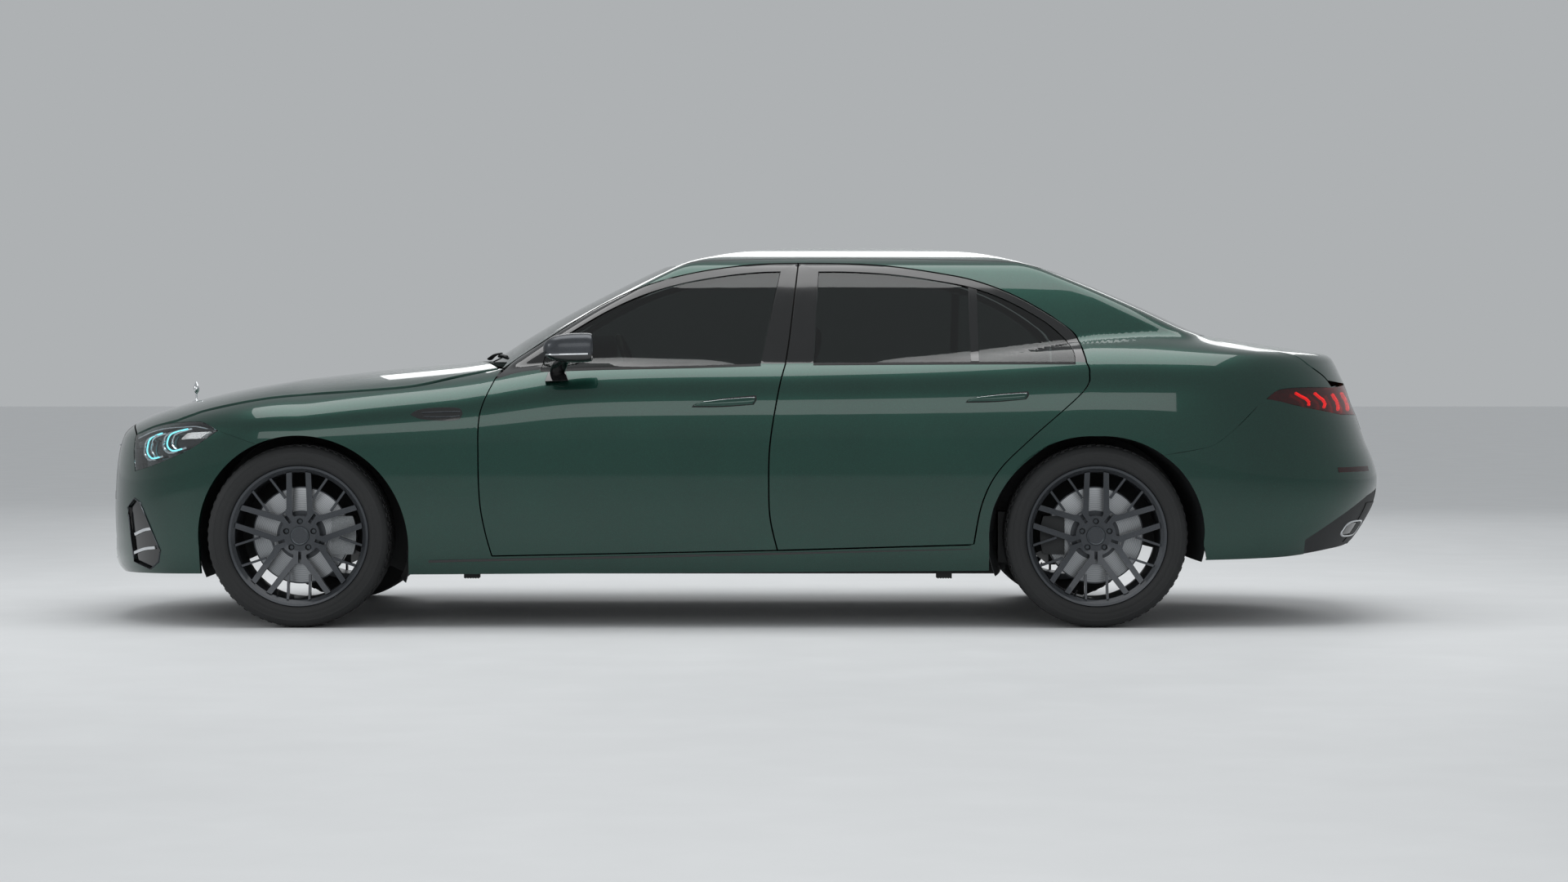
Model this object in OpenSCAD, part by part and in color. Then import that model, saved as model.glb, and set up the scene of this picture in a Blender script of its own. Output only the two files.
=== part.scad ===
// Four-door luxury sedan, in millimetres: nose towards -X, left side towards -Y, +Z up.
// The origin is on the ground below the middle of the car's length.

/* [Body] */
// Half the body's width at its widest, above the sills
body_half_w = 972; // [962:1:978]
// Height of the widest place on the body's side
waist_z = 700; // [680:5:720]
// Thickness of a whole door below its window
door_t = 110; // [90:5:115]
// Thickness of a door's window frame
frame_t = 30; // [28:1:36]
// Thickness of the bolted panels: fenders, bumpers, roof skin
panel_t = 14; // [10:1:18]
// Gap around everything that opens
shut_gap = 5; // [5:0.5:7]
// Thickness of the window glass
glass_t = 5; // [4:0.5:6]
// Depth of the glass below the outer face of its frame
glass_in = 6; // [4:1:10]
// Gap between fixed panels that meet edge to edge
panel_gap = 0.8; // [0.5:0.1:1]
// Gap between a piece and what carries it
seat_gap = 0.3; // [0.2:0.1:0.5]

/* [Wheels] */
// Distance between the axles
wheelbase = 3106; // [3090:2:3120]
// Distance of the front axle from the middle of the car
front_reach = 1726; // [1720:1:1732]
// Half the distance between the wheels' middle planes
track_half = 830; // [822:1:834]
// Outer radius of the tyre
tyre_r = 356; // [350:1:358]
// Outer radius of the rim's lip
rim_r = 275; // [272:1:277]
// Radius of the wheel-bolt circle
bolt_circle_r = 56; // [54:1:60]

/* [Running gear] */
// Distance of the steering pivot inboard of the wheel's middle plane
pivot_in = 70; // [64:1:76]
// Radius of a brake disc
disc_r = 190; // [180:1:196]

/* [Hidden] */
front_x = -front_reach;
rear_x = wheelbase - front_reach;
axle_z = tyre_r;

// Curve reading

// Number of the stretch of a list of pairs in which k lies
function stretch(tab, k) =
    max(0, min(len(tab) - 2, len([for (p = tab) if (p[0] <= k) 1]) - 1));

// Slope of a list of pairs at entry i
function slope(tab, i) =
    let (a = max(0, i - 1), b = min(len(tab) - 1, i + 1))
    (tab[b][1] - tab[a][1]) / (tab[b][0] - tab[a][0]);

// Smooth reading of a list of pairs at k, held level past its ends
function smooth(tab, k) =
    k <= tab[0][0] ? tab[0][1] :
    k >= tab[len(tab) - 1][0] ? tab[len(tab) - 1][1] :
    let (
        i = stretch(tab, k),
        h = tab[i + 1][0] - tab[i][0],
        f = (k - tab[i][0]) / h,
        g = 1 - f
    )
    tab[i][1] * g * g * (1 + 2 * f) + tab[i + 1][1] * f * f * (3 - 2 * f)
    + slope(tab, i) * h * f * g * g - slope(tab, i + 1) * h * f * f * g;

// Point at t (0 to 1) on a smooth curve through a list of places
function on_curve(pts, t) =
    let (
        n = len(pts) - 1,
        i = max(0, min(n - 1, floor(t * n))),
        f = t * n - i,
        p0 = pts[max(0, i - 1)],
        p1 = pts[i],
        p2 = pts[i + 1],
        p3 = pts[min(n, i + 2)]
    )
    0.5 * (2 * p1 + (p2 - p0) * f + (2 * p0 - 5 * p1 + 4 * p2 - p3) * f * f
    + (3 * p1 - p0 - 3 * p2 + p3) * f * f * f);

// A smooth curve through pts, as n equal steps
function curve(pts, n) = [for (i = [0:n]) on_curve(pts, i / n)];
function straight(a, b, n) = [for (i = [0:n]) a + (b - a) * i / n];
function backwards(list) = [for (i = [len(list) - 1:-1:0]) list[i]];
function tail(list) = [for (i = [1:len(list) - 1]) list[i]];

// Grid between four edges that meet at their corners
function between(bottom, top, left, right) =
    let (nu = len(bottom) - 1, nv = len(left) - 1)
    [for (j = [0:nv]) [for (i = [0:nu])
        let (u = i / nu, v = j / nv)
        (1 - v) * bottom[i] + v * top[i] + (1 - u) * left[j] + u * right[j]
        - (1 - u) * (1 - v) * bottom[0] - u * (1 - v) * bottom[nu]
        - (1 - u) * v * top[0] - u * v * top[nu]]];

// The body's surface

// Centre line of the nose: height, place
NOSE = [[150, -2470], [190, -2548], [240, -2574], [330, -2579], [430, -2579], [560, -2574],
    [640, -2566], [700, -2554], [751, -2530], [789, -2479], [826, -2397], [853, -2316],
    [877, -2234], [904, -2126], [931, -1993], [958, -1823], [972, -1726]];
// Centre line of the tail: height, place
TAIL = [[240, 2330], [262, 2420], [312, 2480], [400, 2540], [480, 2578], [560, 2588],
    [610, 2580], [666, 2560], [710, 2540], [816, 2503], [863, 2482], [935, 2457],
    [979, 2437], [1023, 2417], [1052, 2398], [1067, 2366], [1078, 2300], [1098, 2166],
    [1125, 1997], [1138, 1912], [1152, 1790], [1168, 1600], [1180, 1380]];
// Top of the lower body between the axles: place, height
SHOULDER = [[-1726, 972], [-1484, 999], [-1144, 1030], [-1000, 1050], [-700, 1095],
    [-400, 1112], [200, 1122], [800, 1142], [1380, 1180]];
// Squareness of the shoulder: place, power
SQUARE = [[-1726, 3], [-1100, 3.5], [-600, 4], [1380, 4]];
// Centre line of windscreen and roof front: height, place
SCREEN = [[940, -1200], [1033, -1045], [1077, -974], [1131, -890], [1230, -720], [1318, -550],
    [1400, -380], [1434, -295], [1454, -211], [1481, -41], [1495, 129], [1502, 299], [1505, 469]];
// Centre line of rear window and roof rear: height, place
BACK = [[1000, 2140], [1138, 1900], [1165, 1827], [1244, 1657], [1318, 1487], [1386, 1317],
    [1417, 1233], [1440, 1148], [1459, 1063], [1474, 978], [1491, 808], [1502, 638], [1505, 469]];
// Half-width of the cabin above the belt: height, half-width
CABIN = [[900, 925], [1010, 880], [1100, 839], [1200, 784], [1300, 724], [1380, 668],
    [1415, 634], [1440, 582], [1460, 505], [1480, 392], [1495, 243], [1502, 118], [1505, 10]];
cabin_mid_x = 350;
side_bow = 0.000055;
screen_bow = 0.000238;
back_bow = 0.00021;
low_depth = 860;
nose_power = 2.5;
tail_power = 3;
arch_r = 392;

// Half-width of the lower body at height z, for shoulder height top and power n
function level_half(z, top, n) =
    z > waist_z
        ? (z >= top ? 0 : body_half_w * pow(1 - pow((z - waist_z) / (top - waist_z), n), 1 / n))
        : body_half_w * pow(1 - pow((waist_z - z) / low_depth, 3), 1 / 3);

nose_top = NOSE[len(NOSE) - 1][0];
tail_top = TAIL[len(TAIL) - 1][0];
function nose_half(z) = level_half(z, nose_top, 3);
function tail_half(z) = level_half(z, tail_top, 4);
function nose_len(z) = front_x - smooth(NOSE, z);
function tail_len(z) = smooth(TAIL, z) - rear_x;

// Half-width of the lower body at x and z, or -1 where there is none
function low_half(x, z) =
    x < front_x
        ? (z >= nose_top || front_x - x > nose_len(z) ? -1
            : nose_half(z) * pow(1 - pow((front_x - x) / nose_len(z), nose_power), 1 / nose_power))
        : x > rear_x
        ? (z >= tail_top || x - rear_x > tail_len(z) ? -1
            : tail_half(z) * pow(1 - pow((x - rear_x) / tail_len(z), tail_power), 1 / tail_power))
        : (z >= smooth(SHOULDER, x) ? -1 : level_half(z, smooth(SHOULDER, x), smooth(SQUARE, x)));

// The smaller of two lengths, with the corner between them rounded
function soft_min(a, b, p) =
    let (lo = min(a, b), hi = max(a, b)) lo / pow(1 + pow(lo / hi, p), 1 / p);

// Half-width of the cabin at x and z, or -1 where there is none
function cabin_half(x, z) =
    z >= 1505 || z < 940 || x <= smooth(SCREEN, z) || x >= smooth(BACK, z) ? -1
    : let (
        side = smooth(CABIN, z) - side_bow * (x - cabin_mid_x) * (x - cabin_mid_x),
        front = sqrt((x - smooth(SCREEN, z)) / screen_bow),
        back = sqrt((smooth(BACK, z) - x) / back_bow)
    )
    side <= 0 ? -1 : soft_min(side, min(front, back), 18);

// How sharply cabin and lower body meet: place, power
MEET = [[-1000, 80], [-700, 200], [1250, 200], [1600, 40], [2200, 40]];

// Half-width of the whole body at x and z
function side_y(x, z) =
    let (a = low_half(x, z), b = cabin_half(x, z), hi = max(a, b), lo = min(a, b))
    hi <= 0 ? 0 : lo <= 0 ? hi : hi * pow(1 + pow(lo / hi, smooth(MEET, x)), 1 / smooth(MEET, x));

// Highest place of the body at x and y
function top_z(x, y, lo = 700, hi = 1506, n = 19) =
    n == 0 ? lo :
    let (mid = (lo + hi) / 2, in = max(low_half(x, mid), cabin_half(x, mid)) > 0
        && side_y(x, mid) >= abs(y))
    in ? top_z(x, y, mid, hi, n - 1) : top_z(x, y, lo, mid, n - 1);

// Solids between two skins

// A square cell as two triangles, cut from a to c or from b to d
function cell(a, b, c, d, other = false) = other ? [[a, b, d], [b, c, d]] : [[a, b, c], [a, c, d]];
// True where a grid's cell is shorter from its second to its fourth corner
function short_cut(grid, j, i) =
    norm(grid[j][i + 1] - grid[j + 1][i]) < norm(grid[j][i] - grid[j + 1][i + 1]);

// Numbers of the grid points along one edge, in the outer skin's turning direction
function edge_points(side, from, to, nu, nv) =
    let (w = nu + 1)
    side == "bottom" ? [for (i = [from:to]) i] :
    side == "right" ? [for (j = [from:to]) j * w + nu] :
    side == "top" ? [for (i = [to:-1:from]) nv * w + i] :
    [for (j = [to:-1:from]) j * w];

// Faces of one patch, whose outer points start at o and inner points at m
function patch_faces(grid, walls, o, m) =
    let (nv = len(grid) - 1, nu = len(grid[0]) - 1, w = nu + 1)
    concat(
        [for (j = [0:nv - 1], i = [0:nu - 1])
            each cell(o + j * w + i, o + j * w + i + 1, o + (j + 1) * w + i + 1, o + (j + 1) * w + i,
                short_cut(grid, j, i))],
        [for (j = [0:nv - 1], i = [0:nu - 1])
            each cell(m + j * w + i, m + (j + 1) * w + i, m + (j + 1) * w + i + 1, m + j * w + i + 1,
                short_cut(grid, j, i))],
        [for (e = walls)
            let (line = edge_points(e[0], e[1], e[2], nu, nv))
            for (k = [0:len(line) - 2])
                each cell(o + line[k + 1], o + line[k], m + line[k], m + line[k + 1])]);

function whole_edges(grid) =
    let (nv = len(grid) - 1, nu = len(grid[0]) - 1)
    [["bottom", 0, nu], ["right", 0, nv], ["top", 0, nu], ["left", 0, nv]];

function flat(list) = [for (a = list) each a];
function sum_to(list, n) = n == 0 ? 0 : list[n - 1] + sum_to(list, n - 1);

// Closed solid over patches of [grid, walls], between outer and inner places
module skin(patches, outer, inner, turned = false) {
    sizes = [for (p = patches) len(flat(p[0]))];
    total = sum_to(sizes, len(sizes));
    places = flat([for (p = patches) flat(p[0])]);
    faces = flat([for (k = [0:len(patches) - 1])
        patch_faces(patches[k][0], patches[k][1], sum_to(sizes, k), total + sum_to(sizes, k))]);
    polyhedron(
        concat([for (p = places) outer(p)], [for (p = places) inner(p)]),
        turned ? [for (f = faces) [f[2], f[1], f[0]]] : faces);
}

// How far a panel's inward direction turns with the body's plan, from 0 amidships to 1 at nose and tail
function turn_share(x) = max(0, min(1, max((x - 1700) / 300, (-1800 - x) / 250)));
function square_to(x, z) =
    let (s = turn_share(x) > 0 ? (side_y(x + 4, z) - side_y(x - 4, z)) / 8 * turn_share(x) : 0)
    [-s, 1] / norm([s, 1]);
// The same direction on a superellipse of half-axes a and b, at turn t
function square_turn(t, a, b, n, x) =
    let (g = [pow(cos(t), 2 - 2 / n) / a * turn_share(x), pow(abs(sin(t)), 2 - 2 / n) / b])
    g / norm(g);

// Weight of [x, z, w] grids: 0 where a panel's edge runs inwards, 1 where it runs down
function weight(p) = len(p) > 2 ? p[2] : 0;
function weighted(list, w) = [for (p = list) [p[0], p[1], w]];

// Top panel over grids of [x, y]
module top_skin(patches, depth) {
    skin(patches,
        function (p) [p[0], p[1], top_z(p[0], p[1])],
        function (p) [p[0], p[1], top_z(p[0], p[1]) - depth], true);
}
module both_sides() {
    children();
    mirror([0, 1, 0]) children();
}

// Places on the nose and tail, from [turn, z]; the turn is 0 on the centre line

function nose_place(t, z) =
    [front_x - nose_len(z) * pow(cos(t), 2 / nose_power),
     sign(t) * nose_half(z) * pow(abs(sin(t)), 2 / nose_power), z];
function tail_place(t, z) =
    [rear_x + tail_len(z) * pow(cos(t), 2 / tail_power),
     sign(t) * tail_half(z) * pow(abs(sin(t)), 2 / tail_power), z];
// Turn of a place on the nose or tail that is given by x, or by y
function nose_turn(x, z) = acos(pow(min(1, (front_x - x) / nose_len(z)), nose_power / 2));
function tail_turn(x, z) = acos(pow(min(1, (x - rear_x) / tail_len(z)), tail_power / 2));
function nose_turn_y(y, z) = asin(pow(y / nose_half(z), nose_power / 2));
function tail_turn_y(y, z) = asin(pow(y / tail_half(z), tail_power / 2));
function on_nose(list) = [for (p = list) [nose_turn(p[0], p[1]), p[1]]];
function on_tail(list) = [for (p = list) [tail_turn(p[0], p[1]), p[1]]];

function nose_in(t, z, d) =
    let (p = nose_place(t, z), g = square_turn(t, nose_len(z), nose_half(z), nose_power, p[0]) * d)
    [p[0] + g[0], p[1] - sign(t) * g[1], z];
function tail_in(t, z, d) =
    let (p = tail_place(t, z), g = square_turn(t, tail_len(z), tail_half(z), tail_power, p[0]) * d)
    [p[0] - g[0], p[1] - sign(t) * g[1], z];
module nose_skin(patches, depth) {
    skin(patches,
        function (p) nose_place(p[0], p[1]),
        function (p) nose_in(p[0], p[1], depth * (1 - weight(p))) - [0, 0, depth * weight(p)]);
}
module tail_skin(patches, depth) {
    skin(patches,
        function (p) tail_place(p[0], p[1]),
        function (p) tail_in(p[0], p[1], depth * (1 - weight(p))) - [0, 0, depth * weight(p)], true);
}
// A grid over the right half, continued over the left half
function whole_width(grid) =
    [for (row = grid) concat([for (p = backwards(tail(row))) [-p[0], p[1], weight(p)]], row)];

// Highest place of the cabin alone at x and y
function cabin_z(x, y, lo = 941, hi = 1506, n = 18) =
    n == 0 ? lo :
    let (mid = (lo + hi) / 2)
    cabin_half(x, mid) >= abs(y) ? cabin_z(x, y, mid, hi, n - 1) : cabin_z(x, y, lo, mid, n - 1);

function moved(list, d) = [for (p = list) p + [d, 0]];
// A line of places moved sideways, to the left of its direction
function beside(list, d) =
    [for (i = [0:len(list) - 1])
        let (
            a = list[max(0, i - 1)],
            b = list[min(len(list) - 1, i + 1)],
            l = norm(b - a)
        )
        list[i] + [a[1] - b[1], b[0] - a[0]] * d / l];

// Shut lines, as [x, z] seen from the side

DOOR_FRONT = [[-972, 281], [-997, 377], [-1016, 492], [-1022, 660], [-1016, 831], [-965, 966]];
DOOR_MIDDLE = [[134, 303], [107, 422], [101, 549], [106, 717], [139, 921], [166, 1027]];
DOOR_REAR = [[899, 325], [930, 483], [994, 610], [1121, 737], [1322, 917], [1350, 991], [1340, 1032]];
FRAME_FRONT = [[-965, 966], [-903, 1034], [-800, 1103], [-707, 1164], [-548, 1262], [-388, 1332],
    [-227, 1378], [-65, 1406], [98, 1421], [217, 1424.5]];
FRAME_REAR = [[222, 1424.5], [423, 1421], [586, 1411], [748, 1388], [911, 1356], [1073, 1295],
    [1229, 1205], [1308, 1140], [1335, 1060], [1340, 1032]];
MIDDLE_UP = [[166, 1027], [182, 1130], [200, 1280], [217, 1424.5]];
FENDER_TOP = [[-2235, 798], [-2160, 824], [-2083, 847], [-1849, 891], [-1550, 915], [-1300, 935],
    [-1120, 972], [-945, 1008]];
LAMP_TOP = [[-2409, 741], [-2326, 775], [-2235, 794], [-2147, 800], [-2099, 796], [-2039, 766]];
LAMP_LOW = [[-2409, 600], [-2300, 633], [-2160, 690], [-2039, 766]];
TAIL_CUT = [[1636, 672], [1798, 700], [1851, 721], [1924, 779], [2010, 862], [2047, 890]];
TAIL_LAMP_TOP = [[2047, 890], [2106, 926], [2225, 934], [2340, 932]];
TAIL_LAMP_LOW = [[2047, 890], [2204, 857], [2300, 840], [2378, 824]];
LID_CORNER = [[2234, 1018], [2298, 979], [2321, 957]];

function front_arch(a) =
    let (r = a > 90 ? arch_r + 6 * pow((a - 90) / 90, 2) : arch_r + 34 * pow((90 - a) / 90, 2))
    [front_x + r * cos(a), axle_z + r * sin(a)];
function rear_arch(a) =
    let (r = arch_r - 2 + 30 * pow(abs(cos(a)), 1.2))
    [rear_x + r * cos(a), axle_z + r * sin(a)];
front_arch_cut = 114;
front_arch_end = -12;
rear_arch_start = 184.5;
rear_arch_cut = 51;
sill_low = 205;
sill_in = 760;

// Edge of glass and roof along the cabin's side, with the half-widths of its corners
screen_low_x = -1045;
screen_top_x = -340;
roof_end_x = 1280;
back_low_x = 1895;
base_edge = 688;
screen_edge = 586;
roof_edge = 564;
back_edge = 580;
back_base_edge = 645;
function base_x(y) = screen_low_x + screen_bow * y * y;
function header_x(y) = screen_top_x + screen_bow * y * y;
function roof_end(y) = roof_end_x - back_bow * y * y;
function back_low(y) = back_low_x - back_bow * y * y;
screen_low_corner = base_x(base_edge);
screen_top_corner = header_x(screen_edge);
back_top_corner = roof_end(back_edge);
back_low_corner = back_low(back_base_edge);
EDGE = [[screen_low_corner, base_edge], [screen_top_corner, screen_edge], [100, roof_edge], [900,
    roof_edge],
    [back_top_corner, back_edge], [back_low_corner, back_base_edge]];
function edge_place(x) = [x, cabin_z(x, smooth(EDGE, x))];

// Windows of the doors: the opening's edges

FRONT_WIN_LOW = [[-790, 1004], [-540, 1012], [-200, 1019], [72, 1027]];
FRONT_WIN_TOP = [[-770, 1088], [-690, 1143], [-540, 1233], [-388, 1302], [-227, 1349], [-65, 1377],
    [60, 1390], [150, 1393]];
REAR_WIN_LOW = [[278, 1030], [600, 1032], [1000, 1034], [1300, 1034]];
REAR_WIN_TOP = [[300, 1392], [423, 1391], [586, 1381], [748, 1359], [911, 1327], [1050, 1275],
    [1190, 1195], [1270, 1125]];
win_steps = 14;
fw_low = curve(FRONT_WIN_LOW, win_steps);
fw_top = curve(FRONT_WIN_TOP, win_steps);
fw_left = straight(FRONT_WIN_LOW[0], FRONT_WIN_TOP[0], 4);
fw_right = straight(FRONT_WIN_LOW[3], FRONT_WIN_TOP[7], 4);
rw_low = curve(REAR_WIN_LOW, win_steps);
rw_top = curve(REAR_WIN_TOP, win_steps);
rw_left = straight(REAR_WIN_LOW[0], REAR_WIN_TOP[0], 4);
rw_right = curve([REAR_WIN_LOW[3], [1297, 1075], REAR_WIN_TOP[7]], 4);

// Thickness of a door at height z
function door_depth(z) = lookup(z, [[955, door_t], [1035, frame_t]]);
// How far a door's rear and front faces lean inwards of its edges, so that it swings past its neighbour
rear_lean = 45;
front_lean = 35;
lean_reach = 220;
function edge_x(edge, z) = smooth([for (p = edge) [p[1], p[0]]], z);
function lean_share(d) = pow(max(0, min(1, 1 - d / lean_reach)), 2);
// Lean at x and z, for a door's [front edge or none, rear edge]
function lean(x, z, edges) =
    door_depth(z) / door_t * (
        (len(edges[0]) > 0 ? front_lean * lean_share(x - edge_x(edges[0], z)) : 0)
        - rear_lean * lean_share(edge_x(edges[1], z) - x));

module door_skin(patches, edges) {
    skin(patches,
        function (p) [p[0], side_y(p[0], p[1]), p[1]],
        function (p) [p[0] + lean(p[0], p[1], edges), side_y(p[0], p[1]) - door_depth(p[1]), p[1]]);
}

front_door_low = between(
    straight(DOOR_FRONT[0], DOOR_MIDDLE[0], 18),
    concat(curve([DOOR_FRONT[5], [-880, 992], FRONT_WIN_LOW[0]], 2), tail(fw_low),
        tail(straight(FRONT_WIN_LOW[3], DOOR_MIDDLE[5], 2))),
    curve(DOOR_FRONT, 12),
    curve(DOOR_MIDDLE, 12));
front_frame_in = concat(fw_left, tail(fw_top), tail(backwards(fw_right)));
front_frame_out = concat(curve(FRAME_FRONT, 18), tail(backwards(curve(MIDDLE_UP, 4))));
front_door_frame = between(
    front_frame_in,
    front_frame_out,
    backwards(curve([DOOR_FRONT[5], [-880, 992], FRONT_WIN_LOW[0]], 2)),
    straight(FRONT_WIN_LOW[3], DOOR_MIDDLE[5], 2));

rear_door_front = moved(DOOR_MIDDLE, shut_gap);
rear_up = moved(MIDDLE_UP, shut_gap);
rear_door_low = between(
    straight(rear_door_front[0], DOOR_REAR[0], 18),
    concat(straight(rear_door_front[5], REAR_WIN_LOW[0], 2), tail(rw_low),
        tail(straight(REAR_WIN_LOW[3], DOOR_REAR[6], 2))),
    curve(rear_door_front, 12),
    curve(DOOR_REAR, 12));
rear_door_frame = between(
    concat(rw_left, tail(rw_top), tail(backwards(rw_right))),
    concat(curve(rear_up, 4), tail(curve(FRAME_REAR, 18))),
    backwards(straight(rear_door_front[5], REAR_WIN_LOW[0], 2)),
    straight(REAR_WIN_LOW[3], DOOR_REAR[6], 2));

function door_walls(grid) =
    let (nv = len(grid) - 1, nu = len(grid[0]) - 1)
    [["bottom", 0, nu], ["right", 0, nv], ["top", 2, nu - 2], ["left", 0, nv]];
frame_walls = [["bottom", 0, win_steps + 8], ["top", 0, win_steps + 8]];

FRONT_DOOR_EDGES = [[], concat(DOOR_MIDDLE, tail(MIDDLE_UP))];
REAR_DOOR_EDGES = [concat(rear_door_front, tail(rear_up)), concat([for (i = [0:5]) DOOR_REAR[i]],
    [[1351, 1040]])];
module door_front_shape() {
    door_skin([[front_door_low, door_walls(front_door_low)], [front_door_frame, frame_walls]],
        FRONT_DOOR_EDGES);
}
module door_rear_shape() {
    door_skin([[rear_door_low, door_walls(rear_door_low)], [rear_door_frame, frame_walls]],
        REAR_DOOR_EDGES);
}
// Window glass, a little smaller than its opening
glass_fit = 0.9983;
function shrunk(grid, k) =
    let (c = (grid[0][0] + grid[0][len(grid[0]) - 1] + grid[len(grid) - 1][0]
        + grid[len(grid) - 1][len(grid[0]) - 1]) / 4)
    [for (row = grid) [for (p = row) c + (p - c) * k]];
module glass_skin(grid, edges) {
    fitted = shrunk(grid, glass_fit);
    function at_depth(p, d) =
        [p[0] + lean(p[0], p[1], edges) * d / door_depth(p[1]), side_y(p[0], p[1]) - d, p[1]];
    skin([[fitted, whole_edges(fitted)]],
        function (p) at_depth(p, glass_in),
        function (p) at_depth(p, glass_in + glass_t));
}
module left() { mirror([0, 1, 0]) children(); }

module door_front_left() { color("darkgreen") left() door_front_shape(); }
module door_front_right() { color("darkgreen") door_front_shape(); }
module door_rear_left() { color("darkgreen") left() door_rear_shape(); }
module door_rear_right() { color("darkgreen") door_rear_shape(); }
module glass_front_shape() { glass_skin(between(fw_low, fw_top, fw_left, fw_right), FRONT_DOOR_EDGES); }
module glass_rear_shape() { glass_skin(between(rw_low, rw_top, rw_left, rw_right), REAR_DOOR_EDGES); }
module glass_front_left() { color("dimgray") left() glass_front_shape(); }
module glass_front_right() { color("dimgray") glass_front_shape(); }
module glass_rear_left() { color("dimgray") left() glass_rear_shape(); }
module glass_rear_right() { color("dimgray") glass_rear_shape(); }

// Fixed body panels

fender_grid = between(
    weighted([for (i = [0:24]) front_arch(front_arch_cut + (front_arch_end - front_arch_cut) * i / 24)], 0),
    concat([for (i = [0:14]) let (p = curve(FENDER_TOP, 14)[i]) [p[0], p[1], min(1, i / 2) * min(1,
        (14 - i) / 2)]],
        weighted(tail(backwards(curve(concat(moved(DOOR_FRONT, -shut_gap), [FENDER_TOP[7]]), 10))), 0)),
    weighted(concat(straight(front_arch(front_arch_cut), LAMP_TOP[5], 3),
        tail(backwards([for (i = [4:10]) curve(LAMP_TOP, 10)[i]]))), 0),
    weighted(straight(front_arch(front_arch_end), DOOR_FRONT[0] - [shut_gap, 0], 9), 0));

// The fender's rear edge is bevelled inwards, so that the door's front edge swings past it
function fender_bevel(x, z) = -14 * pow(max(0, min(1, (x + 1100) / 80)), 2);
module fender_shape() {
    skin([[fender_grid, whole_edges(fender_grid)]],
        function (p) [p[0], side_y(p[0], p[1]), p[1]],
        function (p) let (w = weight(p), n = square_to(p[0], p[1]) * panel_t * (1 - w))
            [p[0] - n[0] + fender_bevel(p[0], p[1]), side_y(p[0], p[1]) - n[1], p[1] - panel_t * w]);
}
module fender_left() { color("darkgreen") left() fender_shape(); }
module fender_right() { color("darkgreen") fender_shape(); }

// Body side: sill, rear quarter, roof rail with pillars, and the deck's side
side_corner = DOOR_REAR[6] + [shut_gap, 0];
back_corner = edge_place(back_low_corner);
// Turn of the arch's place below the door's upper rear corner
arch_mid = 80;
quarter_grid = between(
    weighted([for (i = [0:21]) rear_arch(i < 12 ? rear_arch_start + (arch_mid - rear_arch_start) * i / 12
        : arch_mid + (rear_arch_cut - arch_mid) * (i - 12) / 9)], 0),
    weighted(concat(curve(concat([for (i = [0:5]) moved(DOOR_REAR, shut_gap)[i]], [side_corner]), 12),
        tail(straight(side_corner, TAIL_CUT[5], 9))), 0),
    weighted(straight(rear_arch(rear_arch_start), DOOR_REAR[0] + [shut_gap, 0], 5), 0),
    weighted(curve(TAIL_CUT, 5), 0));
rail_top_x = concat(
    [for (i = [0:14]) screen_low_corner + (screen_top_corner - screen_low_corner) * i / 14],
    [for (i = [1:14]) screen_top_corner + (back_top_corner - screen_top_corner) * i / 14],
    [for (i = [1:8]) back_top_corner + (back_low_corner - back_top_corner) * i / 8]);
rail_top = [for (x = rail_top_x) edge_place(x)];
// Upper edge of the door frames as one line
FRAME_LINE = concat([for (i = [1:8]) FRAME_FRONT[i]], [for (i = [1:7]) FRAME_REAR[i]]);
rail_low = concat([FENDER_TOP[7]],
    tail(beside(concat([for (i = [0:28]) [rail_top_x[i], smooth(FRAME_LINE, rail_top_x[i])]],
        curve([[1240, 1195], FRAME_REAR[7], FRAME_REAR[8], FRAME_REAR[9]], 6)), shut_gap)),
    [side_corner]);
rail_grid = between(weighted(rail_low, 0), weighted(rail_top, 1),
    straight([each rail_low[0], 0], [each rail_top[0], 1], 4),
    straight([each side_corner, 0], [each back_corner, 1], 4));
// Weight along the boot lid's edge, which turns from down to inwards at the rear corner
function lid_weight(z) = max(0, min(1, (z - 985) / 45));
LID_SIDE = [[back_low_corner, back_base_edge], [1900, 688], [2050, 704], [2160, 704], [2234, 700]];
function lid_edge(x) = smooth(LID_SIDE, x);
lid_split_x = 2160;
lid_corner_x = 2234;
deck_corner = curve([[lid_corner_x, top_z(lid_corner_x, lid_edge(lid_corner_x))], LID_CORNER[1],
    LID_CORNER[2]], 6);
deck_edge = concat(
    [for (i = [0:9]) let (x = back_low_corner + (lid_split_x - back_low_corner) * i / 9) [x, top_z(x,
        lid_edge(x))]],
    [for (x = [2197]) [x, top_z(x, lid_edge(x))]], deck_corner);
deck_top = [for (p = deck_edge) [p[0], p[1], lid_weight(p[1])]];
deck_grid = between(
    weighted(concat(straight(side_corner, TAIL_CUT[5], 9), tail(curve(TAIL_LAMP_TOP, 8))), 0),
    concat([[each back_corner, 1]], tail(deck_top)),
    straight([each side_corner, 0], [each back_corner, 1], 4),
    weighted(straight(TAIL_LAMP_TOP[3], LID_CORNER[2], 4), 0));
sill_top = concat(
    straight(front_arch(front_arch_end), DOOR_FRONT[0] - [shut_gap, 0], 3),
    straight(DOOR_FRONT[0] - [0, shut_gap], DOOR_MIDDLE[0] - [0, shut_gap], 6),
    straight(DOOR_MIDDLE[0] + [20, -shut_gap], DOOR_REAR[0] - [0, shut_gap], 5),
    straight(DOOR_REAR[0] + [shut_gap, 0], rear_arch(rear_arch_start), 5));
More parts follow.
